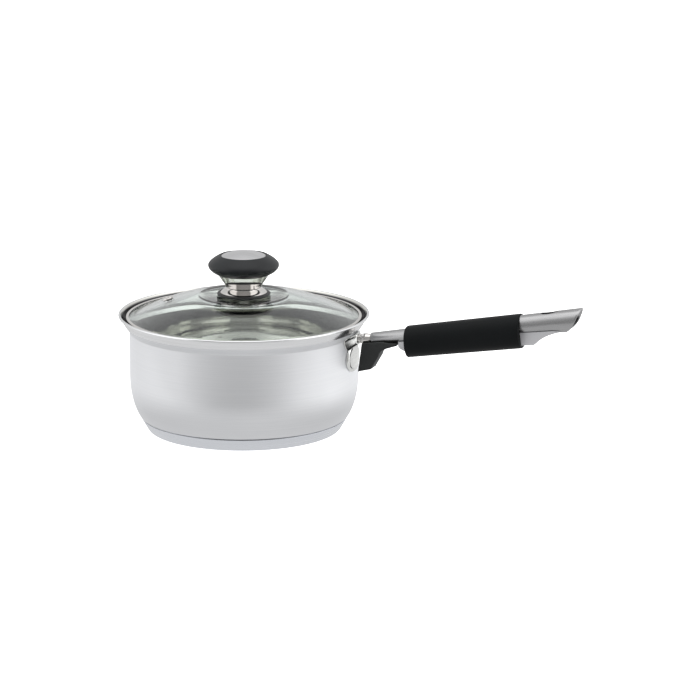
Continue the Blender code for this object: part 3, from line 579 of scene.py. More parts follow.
PAN_SATIN = pan_outside()
PAN_INSIDE = pan_inside()
LIP_POLISH = brushed_steel(
    "polished_lip_steel", (0.76, 0.765, 0.775), (0.83, 0.835, 0.845), 0.20, (20, 20, 1200), 0.01
)
BASE_STEEL = brushed_steel(
    "base_satin_steel", (0.70, 0.72, 0.76), (0.77, 0.79, 0.83), 0.26, (14, 14, 1500), 0.03
)
ROUND_POLISH = brushed_steel(
    "polished_round_steel", (0.66, 0.64, 0.62), (0.74, 0.72, 0.70), 0.07, (20, 20, 1200), 0.012
)
BRACKET_POLISH = brushed_steel(
    "polished_bracket_steel", (0.72, 0.725, 0.71), (0.80, 0.805, 0.79), 0.17, (90, 90, 500), 0.02
)
TUBE_SATIN = brushed_steel(
    "handle_satin_steel", (0.36, 0.36, 0.365), (0.43, 0.43, 0.435), 0.27, (40, 1400, 1400), 0.05,
    tilt=HANDLE_TILT,
)
CAP_SATIN = brushed_steel(
    "knob_cap_steel", (0.58, 0.58, 0.59), (0.68, 0.68, 0.69), 0.30, (60, 1600, 200), 0.05
)
SLEEVE = moulded(
    "sleeve_rubber", (0.0035, 0.0045, 0.005), (0.006, 0.0072, 0.008), 0.50, 2400.0, 0.10,
    tilt=HANDLE_TILT, gloss=0.12,
)
CHARCOAL = moulded(
    "charcoal_plastic", (0.012, 0.0135, 0.015), (0.018, 0.020, 0.022), 0.40, 3000.0, 0.10, gloss=0.28
)
GUARD = moulded(
    "guard_plastic", (0.026, 0.028, 0.028), (0.036, 0.038, 0.038), 0.50, 2600.0, 0.12,
    tilt=HANDLE_TILT, gloss=0.25,
)
SPINE = moulded("spine_plastic", (0.56, 0.56, 0.58), (0.62, 0.62, 0.64), 0.40, 2600.0, 0.08, tilt=HANDLE_TILT)
SILICONE = moulded("gasket_silicone", (0.010, 0.010, 0.011), (0.018, 0.018, 0.020), 0.45, 2000.0, 0.06)
CORE = moulded("core_plastic", (0.040, 0.040, 0.040), (0.060, 0.060, 0.060), 0.45, 1800.0, 0.10)
DISC = brushed_steel("pressed_aluminium", (0.72, 0.73, 0.74), (0.80, 0.81, 0.82), 0.42, (300, 300, 300), 0.06)
BRASS = brushed_steel("turned_brass", (0.70, 0.54, 0.26), (0.80, 0.64, 0.34), 0.28, (60, 60, 2500), 0.05)
GLASS = clear_glass()


# ---------------------------------------------------------------- pan


def make_pan():
    outer = body_corner() + belly() + flare()
    inner = offset(outer, WALL)
    bead = arc(BODY_R + LIP_OUT, BEAD_Z, BEAD_DRAWN_R, -110, 160, 14)
    points = [(0, outer[0][1])] + outer + bead + inner[::-1] + [(0, inner[0][1])]
    mesh = spun(points, PAN_SIDES)
    for face in mesh.faces:
        middle = face.calc_center_median()
        outwards = Vector((middle.x, middle.y, 0)).normalized()
        inside = face.normal.dot(outwards) < -0.02 and middle.z < BEAD_Z + 0.5 * LIP_BEAD_R
        floor = face.normal.z > 0.5 and middle.z < 0.3 * PAN_H
        face.material_index = 1 if inside or floor else 2 if middle.z > POLISH_FROM_Z else 0
    made = piece("pan_shell", mesh, "pan", "pan_body", PAN_SATIN)
    made.data.materials.append(PAN_INSIDE)
    made.data.materials.append(LIP_POLISH)


def make_base():
    foot_r = CAP_R - CAP_FOOT_IN
    outer = arc(foot_r - 0.9 * MM, 0.5 * MM, 0.5 * MM, -90, -60, 2)
    outer[0] = (outer[0][0], 0)
    outer += [(foot_r, 0.5 * MM)]
    outer += bezier(
        (foot_r, 0.5 * MM),
        (foot_r + 0.20 * CAP_FOOT_IN, 0.22 * CAP_H),
        (foot_r + 0.62 * CAP_FOOT_IN, 0.62 * CAP_H),
        (CAP_R, CAP_H),
        14,
    )[1:]
    inner = offset([(0, 0)] + outer, CAP_T)
    mesh = spun([(0, 0)] + outer + inner[::-1], PAN_SIDES)
    piece("base_capsule", mesh, "pan", "base_cap", BASE_STEEL)


# ---------------------------------------------------------------- lid


def dome_z(radius):
    share = (radius - LAND_R) / (DOME_EDGE_R - LAND_R)
    return RIM_Z + DOME_H * (1 - share**DOME_POWER)


def vent_frame():
    step = 0.5 * MM
    slope = (dome_z(VENT_FROM_AXIS + step) - dome_z(VENT_FROM_AXIS - step)) / (2 * step)
    lean = math.atan(slope)
    top = Vector((VENT_FROM_AXIS, 0, dome_z(VENT_FROM_AXIS)))
    inwards = Vector((math.sin(lean), 0, -math.cos(lean))) * GLASS_T / 2
    around = Matrix.Rotation(VENT_AZIMUTH, 4, "Z")
    return around @ Matrix.Translation(top + inwards) @ Matrix.Rotation(-lean, 4, "Y")


def make_glass():
    radii = [LAND_R + (DOME_EDGE_R - LAND_R) * (i / 32) ** 1.3 for i in range(33)]
    top = [(GLASS_R, RIM_Z)] + [(r, dome_z(r)) for r in reversed(radii)]
    top.append((LAND_R - LAND_STEP, SEAT_Z))
    under = offset(top, GLASS_T)
    under[0] = (GLASS_R, GLASS_EDGE_Z)
    under[-1] = (under[-1][0], UNDER_Z)
    hole = [(GLASS_HOLE_R, SEAT_Z), (GLASS_HOLE_R, UNDER_Z)]
    mesh = spun(top + hole + under[::-1], PAN_SIDES, closed=True)
    drill = placed(rod(VENT_TUBE_R + GAP, -3 * GLASS_T, 3 * GLASS_T), vent_frame())
    piece("lid_pane", carved(mesh, drill), "lid", "lid_glass", GLASS)


def make_rim():
    low, high = BAND_Z, BAND_Z + BAND_H
    lap, r = LID_R - BAND_FLANGE, BAND_CORNER_R
    outer = arc(LID_R - r, low + r, r, -90, 0, 8) + arc(LID_R - r, high - r, r, 0, 90, 8)
    lip = BAND_T / 2
    over = arc(lap + lip, high - lip, lip, 90, 270, 6)
    under = arc(lap + lip, low + lip, lip, 90, 270, 6)
    inside = [(LID_R - BAND_T, high - BAND_T), (LID_R - BAND_T, low + BAND_T)]
    mesh = spun(outer + over + inside + under, PAN_SIDES, closed=True)
    piece("lid_rim", mesh, "lid", "lid_band", ROUND_POLISH)


def make_eyelet():
    face = GLASS_T / 2 + 1.5 * GAP
    lip = face + VENT_FLANGE_T
    roll = VENT_FLANGE_T
    points = [(VENT_BORE_R, -lip), (VENT_FLANGE_R - 0.2 * MM, -lip), (VENT_FLANGE_R, -lip + 0.2 * MM)]
    points += [(VENT_FLANGE_R, -face), (VENT_TUBE_R, -face), (VENT_TUBE_R, face), (VENT_FLANGE_R, face)]
    points += arc(VENT_FLANGE_R - roll, lip - roll, roll, 0, 90, 6)
    points += arc(VENT_BORE_R + roll / 2, lip - roll / 2, roll / 2, 90, 180, 4)
    mesh = placed(spun(points, SMALL_SIDES, closed=True), vent_frame())
    piece("vent_ring", mesh, "lid", "vent_eyelet", ROUND_POLISH)


# ---------------------------------------------------------------- knob


def stem_outline():
    low = KNOB_Z + GASKET_T + GAP
    waist = KNOB_Z + WAIST_H
    top = KNOB_Z + STEM_H
    skirt = bezier(
        (SKIRT_R, low),
        (SKIRT_R - 1.0 * MM, low + 0.35 * (waist - low)),
        (WAIST_R + 0.8 * MM, waist - 0.3 * (waist - low)),
        (WAIST_R, waist),
        14,
    )
    collar_r = WAIST_R + COLLAR_FLARE
    collar = waist + COLLAR_H
    cup = bezier(
        (collar_r, collar),
        (collar_r + 0.36 * (STEM_TOP_R - collar_r), collar + 0.3 * (top - collar)),
        (STEM_TOP_R - 0.3 * (STEM_TOP_R - collar_r), top - 0.3 * (top - collar)),
        (STEM_TOP_R, top),
        14,
    )
    return skirt + cup


def make_stem():
    outer = stem_outline()
    inner = offset(outer, STEM_T)
    inner[0] = (inner[0][0], outer[0][1])
    inner[-1] = (inner[-1][0], outer[-1][1])
    mesh = spun(outer + inner[::-1], KNOB_SIDES, closed=True)
    piece("knob_foot", mesh, "lid", "knob_stem", ROUND_POLISH, smooth_to=20)


def make_gasket():
    low, high = KNOB_Z, KNOB_Z + GASKET_T
    edge = GASKET_T / 2
    points = [(GASKET_BORE_R, low)] + arc(GASKET_R - edge, low + edge, edge, -90, 90, 12)
    points += [(GASKET_BORE_R, high)]
    piece("knob_base_ring", spun(points, KNOB_SIDES, closed=True), "lid", "knob_gasket", SILICONE)


def ring_seat():
    return KNOB_Z + GRIP_RING_H - CAP_SEAT_SINK


def make_grip_ring():
    low = KNOB_Z + STEM_H + GAP
    wide = KNOB_Z + GRIP_RING_WIDEST_H
    top = KNOB_Z + GRIP_RING_H
    seat = ring_seat()
    pocket = seat - CORE_HEAD_T - 2 * GAP
    bore = CORE_NECK_R + GAP
    recess = CAP_DISC_R + GAP
    under = bezier(
        (STEM_TOP_R + 0.6 * MM, low),
        (GRIP_RING_R - 2.6 * MM, low + 0.24 * (wide - low)),
        (GRIP_RING_R, low + 0.6 * (wide - low)),
        (GRIP_RING_R, wide),
        20,
    )
    over = bezier(
        (GRIP_RING_R, wide),
        (GRIP_RING_R, wide + 0.28 * (top - wide)),
        (recess + 5.6 * MM, wide + 0.68 * (top - wide)),
        (recess + 1.1 * MM, top),
        20,
    )
    inside = bezier(over[-1], (recess + 0.4 * MM, top), (recess, top), (recess, top - 0.5 * MM), 5)[1:]
    inside += [
        (recess, seat),
        (CORE_HEAD_R + GAP, seat),
        (CORE_HEAD_R + GAP, pocket),
        (bore, pocket),
        (bore, low),
    ]
    mesh = spun(under + over[1:] + inside, KNOB_SIDES, closed=True)
    piece("knob_ring", mesh, "lid", "knob_grip", CHARCOAL)


def make_cap():
    seat = ring_seat() + GAP
    edge = seat + CAP_DISC_SKIRT
    ball = (CAP_DISC_R**2 + CAP_DISC_RISE**2) / (2 * CAP_DISC_RISE)
    centre = edge + CAP_DISC_RISE - ball
    spread_deg = math.degrees(math.asin(CAP_DISC_R / ball))
    top = arc(0, centre, ball, 90, 90 - spread_deg, 24)
    inner_r = CAP_DISC_R - CAP_DISC_T
    inner_spread = math.degrees(math.asin(inner_r / (ball - CAP_DISC_T)))
    under = arc(0, centre, ball - CAP_DISC_T, 90 - inner_spread, 90, 12)
    rim = bezier(top[-2], top[-1], top[-1], (CAP_DISC_R, edge - 0.5 * MM), 4)[1:]
    points = top[:-1] + rim + [(CAP_DISC_R, seat), (inner_r, seat)] + under
    points[0] = (0, points[0][1])
    points[-1] = (0, points[-1][1])
    piece("knob_disc", spun(points, KNOB_SIDES), "lid", "knob_cap", CAP_SATIN)


def screw_outline(radius, head_r, head_h, seat, tip):
    low = seat - head_h
    recess = 0.45 * head_r
    return [
        (0, low + 0.55 * head_h),
        (recess, low + 0.55 * head_h),
        (recess, low),
        (0.62 * head_r, low),
        (0.80 * head_r, low + 0.10 * head_h),
        (0.92 * head_r, low + 0.3 * head_h),
        (0.98 * head_r, low + 0.48 * head_h),
        (head_r, low + 0.65 * head_h),
        (head_r, seat),
        (radius, seat),
        (radius, tip - radius / 2),
        (radius / 2, tip),
        (0, tip),
    ]


def washer_outline(inner, outer, low, high):
    edge = (high - low) / 4
    return [
        (inner, low),
        (outer - edge, low),
        (outer, low + edge),
        (outer, high - edge),
        (outer - edge, high),
        (inner, high),
    ]


def make_fastening():
    high = UNDER_Z - GAP
    seal = spun(washer_outline(SCREW_R + GAP, SEAL_R, high - SEAL_T, high), SMALL_SIDES, closed=True)
    piece("screw_seal", seal, "lid", "knob_seal", SILICONE)
    high -= SEAL_T + GAP
    washer = spun(washer_outline(SCREW_R + GAP, WASHER_R, high - WASHER_T, high), SMALL_SIDES, closed=True)
    piece("screw_washer", washer, "lid", "knob_washer", ROUND_POLISH)
    seat = high - WASHER_T - GAP
    tip = KNOB_Z + INSERT_H - GAP
    screw = spun(screw_outline(SCREW_R, SCREW_HEAD_R, SCREW_HEAD_H, seat, tip), SMALL_SIDES)
    piece("lid_screw", screw, "lid", "knob_screw", ROUND_POLISH)


# ---------------------------------------------------------------- handle


def tube_radius(s):
    return TUBE_R + TUBE_TAPER * s


def cut_reach(rise):
    drop = (1 - rise) / 2
    return TUBE_LEN - TAIL_SLANT * drop - TAIL_HEEL * drop**6


TAIL_FROM = TUBE_LEN - TAIL_SLANT - TAIL_HEEL - TAIL_BLEND


def tube_skin(mesh):
    """Gives a spun tube its taper and its oblique far end. Heights past the tail's start are shares of the way."""
    for vert in mesh.verts:
        s, radius = vert.co.x, math.hypot(vert.co.y, vert.co.z)
        c, d = vert.co.y / radius, vert.co.z / radius
        share = max(0.0, s - TAIL_FROM) / (TUBE_LEN - TAIL_FROM)
        reach = s if share == 0 else TAIL_FROM + (cut_reach(d) - TAIL_FROM) * share
        swell = TAIL_SWELL * share * (2 - share) if d < 0 else 0
        radius += TUBE_TAPER * reach
        vert.co = (reach, radius * c, (radius + swell * abs(d) ** 0.25) * d)
    return mesh


def tube_blank(start, clearance):
    """The tube's outside with a clearance, for cutting what closes on it."""
    radius = TUBE_R + clearance
    runs = [start] + [TAIL_FROM + (TUBE_LEN - TAIL_FROM) * i / 8 for i in range(9)]
    points = [(0.001 * MM, start)] + [(radius, s) for s in runs] + [(0.001 * MM, TUBE_LEN)]
    mesh = placed(spun(points, TUBE_SIDES, closed=True), AXIS_TO_X)
    return placed(tube_skin(mesh), HANDLE_FRAME)


def make_tube():
    edge = 0.4 * TUBE_T
    runs = [edge, TAIL_FROM / 2] + [TAIL_FROM + (TUBE_LEN - TAIL_FROM) * i / 12 for i in range(13)]
    outer = [(TUBE_R - edge, 0), (TUBE_R - 0.3 * edge, 0.3 * edge)] + [(TUBE_R, s) for s in runs]
    inner = [(TUBE_R - TUBE_T, s) for s in [0] + runs[1:]]
    mesh = tube_skin(placed(spun(outer + inner[::-1], TUBE_SIDES, closed=True), AXIS_TO_X))
    bmesh.ops.recalc_face_normals(mesh, faces=mesh.faces)
    rim = [
        e for e in mesh.edges
        if e.calc_face_angle(0) > math.radians(40) and min(v.co.x for v in e.verts) > TAIL_FROM
    ]
    bmesh.ops.bevel(mesh, geom=rim, offset=0.25 * MM, affect="EDGES", segments=2, profile=0.5, material=-1)
    rise = 2 * tube_radius(TUBE_LEN)
    slot = bmesh.new()
    bmesh.ops.create_cone(
        slot, cap_ends=True, segments=SMALL_SIDES, radius1=SLOT_LEN / 2, radius2=SLOT_LEN / 2, depth=rise
    )
    bmesh.ops.scale(slot, vec=(1, SLOT_W / SLOT_LEN, 1), verts=slot.verts)
    bmesh.ops.translate(slot, vec=(TUBE_LEN - SLOT_BACK, 0, TUBE_R / 4 + rise / 2), verts=slot.verts)
    mesh = carved(mesh, slot)
    hole = rod(GUARD_SCREW_R + GAP, -GUARD_SCREW_SEAT, 0)
    mesh = carved(mesh, placed(hole, Matrix.Translation((GUARD_SCREW_FROM_MOUTH, 0, 0))))
    piece("handle_pipe", placed(mesh, HANDLE_FRAME), "pan", "handle_tube", TUBE_SATIN)


def spine_outline():
    nose = GRIP_FROM - 6.0 * MM
    run = GRIP_FROM + 3.0 * MM
    corner = GRIP_END + 7.8 * MM
    deep = -SPINE_DEPTH - SPINE_TAIL_DROP
    tip = GRIP_END + SPINE_TAIL_LEN
    skin = -tube_radius(tip)
    tail = bezier(
        (corner, deep),
        (corner + 0.2 * (tip - corner), deep + 0.42 * (skin - deep)),
        (corner + 0.46 * (tip - corner), deep + 0.86 * (skin - deep)),
        (tip, skin),
        16,
    )
    under = [(nose, -4.5 * MM), (nose - 0.6 * MM, -6.6 * MM), (nose + 1.0 * MM, -8.8 * MM)]
    under += [(nose + 5.2 * MM, -11.4 * MM), (run, -SPINE_DEPTH), (GRIP_END, deep + 0.4 * SPINE_TAIL_DROP)]
    return under + tail + [(tip, -SPINE_TOP), (nose, -SPINE_TOP)]


def make_spine():
    mesh = placed(slab(spine_outline(), SPINE_W / 2, SPINE_BEVEL, 3), HANDLE_FRAME)
    mesh = carved(mesh, tube_blank(-GAP, GAP))
    piece("handle_rib", mesh, "pan", "handle_spine", SPINE)


def sleeve_ring(s, inset):
    """One section of the sleeve's outside, square to the handle at its middle and leaning at its ends."""
    share = (s - GRIP_FROM) / GRIP_LEN
    ring = []
    for i in range(SLEEVE_SIDES):
        turn = math.tau * i / SLEEVE_SIDES
        c, d = math.cos(turn), math.sin(turn)
        half_w = GRIP_HALF_W[0] + (GRIP_HALF_W[1] - GRIP_HALF_W[0]) * share - inset
        half_h = GRIP_HALF_H[0] + (GRIP_HALF_H[1] - GRIP_HALF_H[0]) * share - inset
        v = half_w * math.copysign(abs(c) ** (2 / GRIP_ROUND), c)
        w = half_h * math.copysign(abs(d) ** (2 / GRIP_ROUND), d) - GRIP_DROP
        ring.append((s + w * math.tan(GRIP_END_LEAN), v, w))
    return ring


def bore_ring(s):
    """One section of the sleeve's bore: round over the tube, and narrowing below it to the spine's width."""
    deep = SPINE_DEPTH + 0.6 * SPINE_TAIL_DROP * (s - GRIP_FROM) / GRIP_LEN + GAP
    wide, narrow = tube_radius(s) + GAP, SPINE_W / 2 + GAP
    ring = []
    for i in range(SLEEVE_SIDES):
        turn = math.tau * i / SLEEVE_SIDES
        c, d = math.cos(turn), math.sin(turn)
        if d >= 0:
            v, w = wide * c, wide * d
        elif abs(c) < 0.5:
            v, w = narrow * c / 0.5, -deep
        else:
            fall = min(1.0, -d / 0.86)
            v, w = math.copysign(wide + (narrow - wide) * fall, c), -deep * fall
        ring.append((s + w * math.tan(GRIP_END_LEAN), v, w))
    return ring


def make_sleeve():
    r = GRIP_EDGE_R
    corner = [(r * (1 - math.sin(t)), r * (1 - math.cos(t))) for t in (math.pi / 2 * i / 5 for i in range(6))]
    front = [sleeve_ring(GRIP_FROM + back, inset) for inset, back in corner]
    middle = [sleeve_ring(GRIP_FROM + GRIP_LEN * k / 6, 0) for k in range(1, 6)]
    back = [sleeve_ring(GRIP_END - short, inset) for inset, short in reversed(corner)]
    bore = [bore_ring(GRIP_END - GRIP_LEN * k / 4) for k in range(5)]
    mesh = placed(skinned(front + middle + back + bore, closed=True), HANDLE_FRAME)
    bmesh.ops.recalc_face_normals(mesh, faces=mesh.faces)
    piece("soft_sleeve", mesh, "pan", "handle_grip", SLEEVE, smooth_to=50)


# ---------------------------------------------------------------- bracket, neck and heat guard


def on_wall(p, q, h):
    radius = outer_radius(q) + h
    turn = p / BODY_R
    return (radius * math.cos(turn), radius * math.sin(turn), q)


def boxy(turn):
    c, d = math.cos(turn), math.sin(turn)
    return math.copysign(abs(c) ** 0.5, c), math.copysign(abs(d) ** 0.5, d)


def wing_ring(h, share):
    top, foot = NECK_Z + WING_ABOVE_NECK, NECK_Z - WING_BELOW_NECK
    middle, half = (top + foot) / 2, (top - foot) / 2
    ring = []
    for i in range(TUBE_SIDES):
        c, d = boxy(math.tau * i / TUBE_SIDES)
        wide = WING_FOOT_HALF_W + (WING_TOP_HALF_W - WING_FOOT_HALF_W) * (d + 1) / 2
        ring.append(on_wall(share * wide * c, middle + share * half * d, h))
    return ring


def mouth_ring(out, grow):
    ring = []
    for i in range(TUBE_SIDES):
        c, d = boxy(math.tau * i / TUBE_SIDES)
        z = MOUTH.z - MOUTH_DROP + (MOUTH_HALF_H + grow) * d
        ring.append((BODY_R + out, (MOUTH_HALF_W + 2 * grow) * c, z))
    return ring


def lobe_ring(share, h):
    ring = []
    for i in range(TUBE_SIDES):
        turn = math.tau * i / TUBE_SIDES
        height = NECK_Z - LOBE_BELOW_NECK + share * LOBE_HALF_H * math.sin(turn)
        ring.append(on_wall(share * LOBE_HALF_W * math.cos(turn), height, h))
    return ring


def wall_blank():
    line = [p for p in belly() + flare() if p[1] > BELLY_TOP_Z * 0.8]
    outside = offset(line, -GAP)
    return spun([(0, outside[0][1])] + outside + [(0, outside[-1][1])], PAN_SIDES)


def make_bracket():
    wing = [wing_ring(PLATE_SUNK, 1), wing_ring(PLATE_T - 0.3 * MM, 1), wing_ring(PLATE_T - 0.08 * MM, 0.985)]
    wing += [wing_ring(PLATE_T, 0.96), wing_ring(PLATE_T + 0.4 * MM, 0.86)]
    wing += [mouth_ring(0.85 * MOUTH_OUT, 0.3 * MM), mouth_ring(MOUTH_OUT, 0)]
    dished = [(1, PLATE_SUNK), (1, PLATE_T - 0.3 * MM)]
    dished += [(0.985, PLATE_T - 0.05 * MM), (0.95, PLATE_T + 0.3 * LOBE_RIM)]
    dished += [(0.91, PLATE_T + 0.75 * LOBE_RIM), (0.87, PLATE_T + 0.97 * LOBE_RIM), (0.83, PLATE_T + LOBE_RIM)]
    dished += [(0.78, PLATE_T + 0.92 * LOBE_RIM), (0.7, PLATE_T + 0.7 * LOBE_RIM), (0.55, PLATE_T + 0.42 * LOBE_RIM)]
    dished += [(share, PLATE_T + (0.2 + 0.7 * share**2) * LOBE_RIM) for share in (0.4, 0.2, 0.05)]
    lobe = skinned([lobe_ring(share, h) for share, h in dished])
    mesh = carved(skinned(wing), lobe, "UNION")
    mesh = carved(mesh, wall_blank())
    socket = placed(rod(MOUTH_CORE_R, -SPIGOT_REACH - GAP, 0), NECK_FRAME @ AXIS_TO_X)
    mesh = carved(mesh, socket)
    piece("handle_saddle", mesh, "pan", "handle_bracket", BRACKET_POLISH, smooth_to=30)


def make_neck():
    ball = NECK_BALL_LEN
    points = [(0, -SPIGOT_REACH), (NECK_SPIGOT_R, -SPIGOT_REACH), (NECK_SPIGOT_R, -ball)]
    points += bezier(
        (0.86 * NECK_R, -ball),
        (1.04 * NECK_R, -0.72 * ball),
        (1.04 * NECK_R, -0.3 * ball),
        (0.72 * NECK_R, -2 * GAP),
        12,
    )
    points += [(0, -2 * GAP)]
    neck = placed(spun(points, TUBE_SIDES), NECK_FRAME @ AXIS_TO_X)
    shank = placed(rod(SHANK_R, -0.3 * ball, SHANK_LEN, TUBE_SIDES), HANDLE_FRAME @ AXIS_TO_X)
    neck = carved(neck, shank, "UNION")
    hole = placed(rod(GUARD_SCREW_R + GAP, -GUARD_SCREW_SEAT, SHANK_R / 2), guard_screw_frame())
    piece("handle_collar", carved(neck, hole), "pan", "handle_neck", ROUND_POLISH)


def guard_outline():
    deep = -GUARD_DEPTH
    top = -GUARD_TOP
    tip = GRIP_FROM - GUARD_TIP_GAP
    return [
        (-6.5 * MM, top),
        (-12.5 * MM, deep),
        (-2.9 * MM, deep + 0.8 * MM),
        (-2.2 * MM, deep + 1.2 * MM),
        (-1.8 * MM, deep + 1.9 * MM),
        (4.2 * MM, 0.573 * deep),
        (5.3 * MM, 0.477 * deep),
        (6.9 * MM, 0.407 * deep),
        (8.8 * MM, 0.37 * deep),
        (11.0 * MM, 0.34 * deep),
        (tip - 0.7 * MM, 0.285 * deep),
        (tip, 0.21 * deep),
        (12.0 * MM, -3.4 * MM),
        (8.0 * MM, top),
    ]


def guard_screw_frame():
    return HANDLE_FRAME @ Matrix.Translation((GUARD_SCREW_FROM_MOUTH, 0, 0))


def make_guard():
    mesh = placed(slab(guard_outline(), GUARD_HALF_W, GUARD_BEVEL, 4), HANDLE_FRAME)
    mesh = carved(mesh, tube_blank(-GAP, GAP))
    collar = placed(rod(NECK_R + GAP, -NECK_BALL_LEN - 2 * MM, 1 * MM, TUBE_SIDES), NECK_FRAME @ AXIS_TO_X)
    mesh = carved(mesh, collar)
    seat, hole, well = -GUARD_SCREW_SEAT, GUARD_SCREW_R + GAP, GUARD_SCREW_HEAD_R + GAP
    points = [(0, -2 * GUARD_DEPTH), (well, -2 * GUARD_DEPTH), (well, seat), (hole, seat), (hole, 0), (0, 0)]
    mesh = carved(mesh, placed(spun(points, SMALL_SIDES), guard_screw_frame()))
    piece("heat_guard", mesh, "pan", "flame_guard", GUARD)


def make_guard_screw():
    seat, tip = -GUARD_SCREW_SEAT - GAP, SHANK_R / 2 - GAP
    points = screw_outline(GUARD_SCREW_R, GUARD_SCREW_HEAD_R, GUARD_SCREW_HEAD_H, seat, tip)
    mesh = placed(spun(points, SMALL_SIDES), guard_screw_frame())
    piece("guard_fastener", mesh, "pan", "guard_screw", ROUND_POLISH)


# ---------------------------------------------------------------- hidden pieces


def finish_hidden():
    """The closed-in pieces keep their CAD shape and take their own finish."""
    for name, finish in (("base_disc", DISC), ("knob_core", CORE), ("knob_insert", BRASS)):
        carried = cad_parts[name]
        carried.data.materials.clear()
        carried.data.materials.append(finish)


# ---------------------------------------------------------------- studio


VIEW_AZIMUTH = math.radians(19)
VIEW_ELEVATION = math.radians(13.58)
VIEW_DISTANCE = 2.6
LENS_MM = 190.1
AIM_ACROSS = 0.07443
AIM_UP = 0.0552
FLOOR_R = 6.0
FLOOR_DROP = 0.2 * MM
# Brightness of the tent round the object, from straight behind it (0) to behind the camera (1)
SIDES_OF_TENT = ((0.0, 0.70), (0.10, 0.78), (0.30, 1.10), (0.50, 1.52), (0.79, 1.56), (0.86, 0.40), (1.0, 0.44))
# Brightness straight below (0), level (0.5) and overhead (1), and how much of the sides' own shows at each height
TABLE_LEVEL = 0.77
ROOF_LEVEL = 0.95
TABLE_TO_ROOF = ((0.0, TABLE_LEVEL), (0.5, TABLE_LEVEL), (0.8, ROOF_LEVEL))
SIDES_SHOW = ((0.0, 0.0), (0.22, 0.0), (0.36, 1.0), (0.84, 1.0), (0.97, 0.0))
LEFT_SIDE, RIGHT_SIDE = 0.93, 1.08  # the right side of the tent is a little brighter than the left


def make_camera():
    a, e = VIEW_AZIMUTH, VIEW_ELEVATION
    right = Vector((math.cos(a), math.sin(a), 0))
    back = Vector((math.sin(a) * math.cos(e), -math.cos(a) * math.cos(e), math.sin(e)))
    up = back.cross(right)
    aim = AIM_ACROSS * right + Vector((0, 0, AIM_UP))
    data = bpy.data.cameras.new("camera")
    data.sensor_width = 36.0
    data.lens = LENS_MM
    data.clip_end = 50.0
    camera = bpy.data.objects.new("camera", data)
    bpy.context.scene.collection.objects.link(camera)
    turned = Matrix((right, up, back)).transposed().to_4x4()
    camera.matrix_world = Matrix.Translation(aim + VIEW_DISTANCE * back) @ turned
    bpy.context.scene.camera = camera


def make_floor():
    mesh = bmesh.new()
    bmesh.ops.create_circle(mesh, cap_ends=True, segments=96, radius=FLOOR_R)
    data = bpy.data.meshes.new("floor")
    mesh.to_mesh(data)
    mesh.free()
    floor = bpy.data.objects.new("floor", data)
    bpy.context.scene.collection.objects.link(floor)
    floor.location.z = -FLOOR_DROP
    floor.visible_glossy = False
    floor.visible_diffuse = False
    floor.visible_transmission = False
    made, tree, shader = blank_finish("pale_floor", Roughness=0.9)
    shader.inputs["Base Color"].default_value = (0.80, 0.80, 0.80, 1)
    seen = node(tree, "ShaderNodeLightPath").outputs["Is Camera Ray"]
    glow = node(tree, "ShaderNodeEmission", Strength=1.0)
    glow.inputs["Color"].default_value = (1, 1, 1, 1)
    lit = node(tree, "ShaderNodeAddShader")
    tree.links.new(glow.outputs[0], lit.inputs[0])
    tree.links.new(shader.outputs[0], lit.inputs[1])
    mix = node(tree, "ShaderNodeMixShader", Fac=seen)
    tree.links.new(shader.outputs[0], mix.inputs[1])
    tree.links.new(lit.outputs[0], mix.inputs[2])
    tree.links.new(mix.outputs[0], tree.nodes["Material Output"].inputs["Surface"])
    data.materials.append(made)


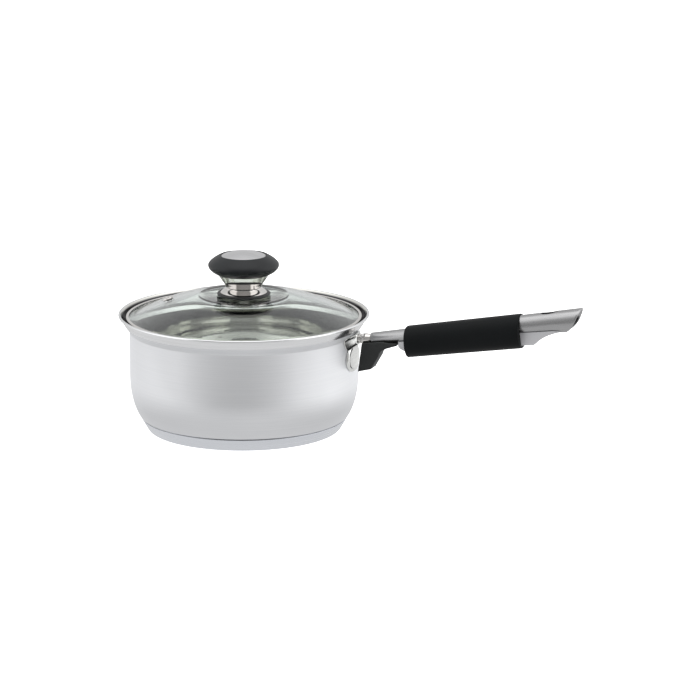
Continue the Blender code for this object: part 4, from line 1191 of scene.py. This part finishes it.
def make_world():
    """A bright tent: lightest at both sides, grey behind the camera, an even pale table below, and plain
    white where it is seen directly."""
    world = bpy.data.worlds.new("studio")
    bpy.context.scene.world = world
    world.use_nodes = True
    tree = world.node_tree
    tree.nodes.clear()
    out = node(tree, "ShaderNodeOutputWorld")
    direction = node(tree, "ShaderNodeTexCoord").outputs["Generated"]
    height = node(tree, "ShaderNodeSeparateXYZ", Vector=direction).outputs["Z"]
    level = node(tree, "ShaderNodeVectorMath", [("operation", "MULTIPLY")], i0=direction, i1=(1, 1, 0)).outputs[0]
    level = node(tree, "ShaderNodeVectorMath", [("operation", "NORMALIZE")], i0=level).outputs[0]
    a = VIEW_AZIMUTH
    facing = node(
        tree, "ShaderNodeVectorMath", [("operation", "DOT_PRODUCT")], i0=level, i1=(math.sin(a), -math.cos(a), 0)
    ).outputs["Value"]
    around = tent_ramp(tree, spread(tree, facing, -1, 1, 0, 1), SIDES_OF_TENT)
    sideways = node(
        tree, "ShaderNodeVectorMath", [("operation", "DOT_PRODUCT")], i0=level, i1=(math.cos(a), math.sin(a), 0)
    ).outputs["Value"]
    around = node(
        tree, "ShaderNodeVectorMath", [("operation", "SCALE")],
        i0=around, Scale=spread(tree, sideways, -1, 1, LEFT_SIDE, RIGHT_SIDE),
    ).outputs[0]
    upwards = tent_ramp(tree, spread(tree, height, -1, 1, 0, 1), SIDES_SHOW)
    ends = tent_ramp(tree, spread(tree, height, -1, 1, 0, 1), TABLE_TO_ROOF)
    tent = mix_colour(tree, upwards, ends, around)
    soft = node(tree, "ShaderNodeBackground", Color=tent, Strength=1.0)
    plain = node(tree, "ShaderNodeBackground", Strength=1.0)
    plain.inputs["Color"].default_value = (1, 1, 1, 1)
    seen = node(tree, "ShaderNodeLightPath").outputs["Is Camera Ray"]
    mix = node(tree, "ShaderNodeMixShader", Fac=seen)
    tree.links.new(soft.outputs[0], mix.inputs[1])
    tree.links.new(plain.outputs[0], mix.inputs[2])
    tree.links.new(mix.outputs[0], out.inputs["Surface"])


def tent_ramp(tree, share, stops):
    ramp = node(tree, "ShaderNodeValToRGB", Fac=share)
    while len(ramp.color_ramp.elements) < len(stops):
        ramp.color_ramp.elements.new(0.5)
    for element, (place, level) in zip(ramp.color_ramp.elements, stops):
        element.position = place
        element.color = (level, level, level, 1)
    return ramp.outputs[0]


def make_light(name, azimuth, elevation, distance, size, power):
    a, e = math.radians(azimuth), math.radians(elevation)
    back = Vector((math.sin(a) * math.cos(e), -math.cos(a) * math.cos(e), math.sin(e)))
    data = bpy.data.lights.new(name, "AREA")
    data.shape = "RECTANGLE"
    data.size, data.size_y = size
    data.energy = power
    light = bpy.data.objects.new(name, data)
    bpy.context.scene.collection.objects.link(light)
    light.location = distance * back
    light.rotation_euler = back.to_track_quat("Z", "Y").to_euler()


def make_studio():
    make_camera()
    make_floor()
    make_world()
    make_light("overhead", 19, 80, 1.6, (1.6, 1.6), 6.0)
    bpy.context.scene.view_settings.view_transform = "Standard"


def main():
    make_pan()
    make_base()
    make_glass()
    make_rim()
    make_eyelet()
    make_stem()
    make_gasket()
    make_grip_ring()
    make_cap()
    make_fastening()
    make_tube()
    make_spine()
    make_sleeve()
    make_bracket()
    make_neck()
    make_guard()
    make_guard_screw()
    finish_hidden()
    make_studio()


main()
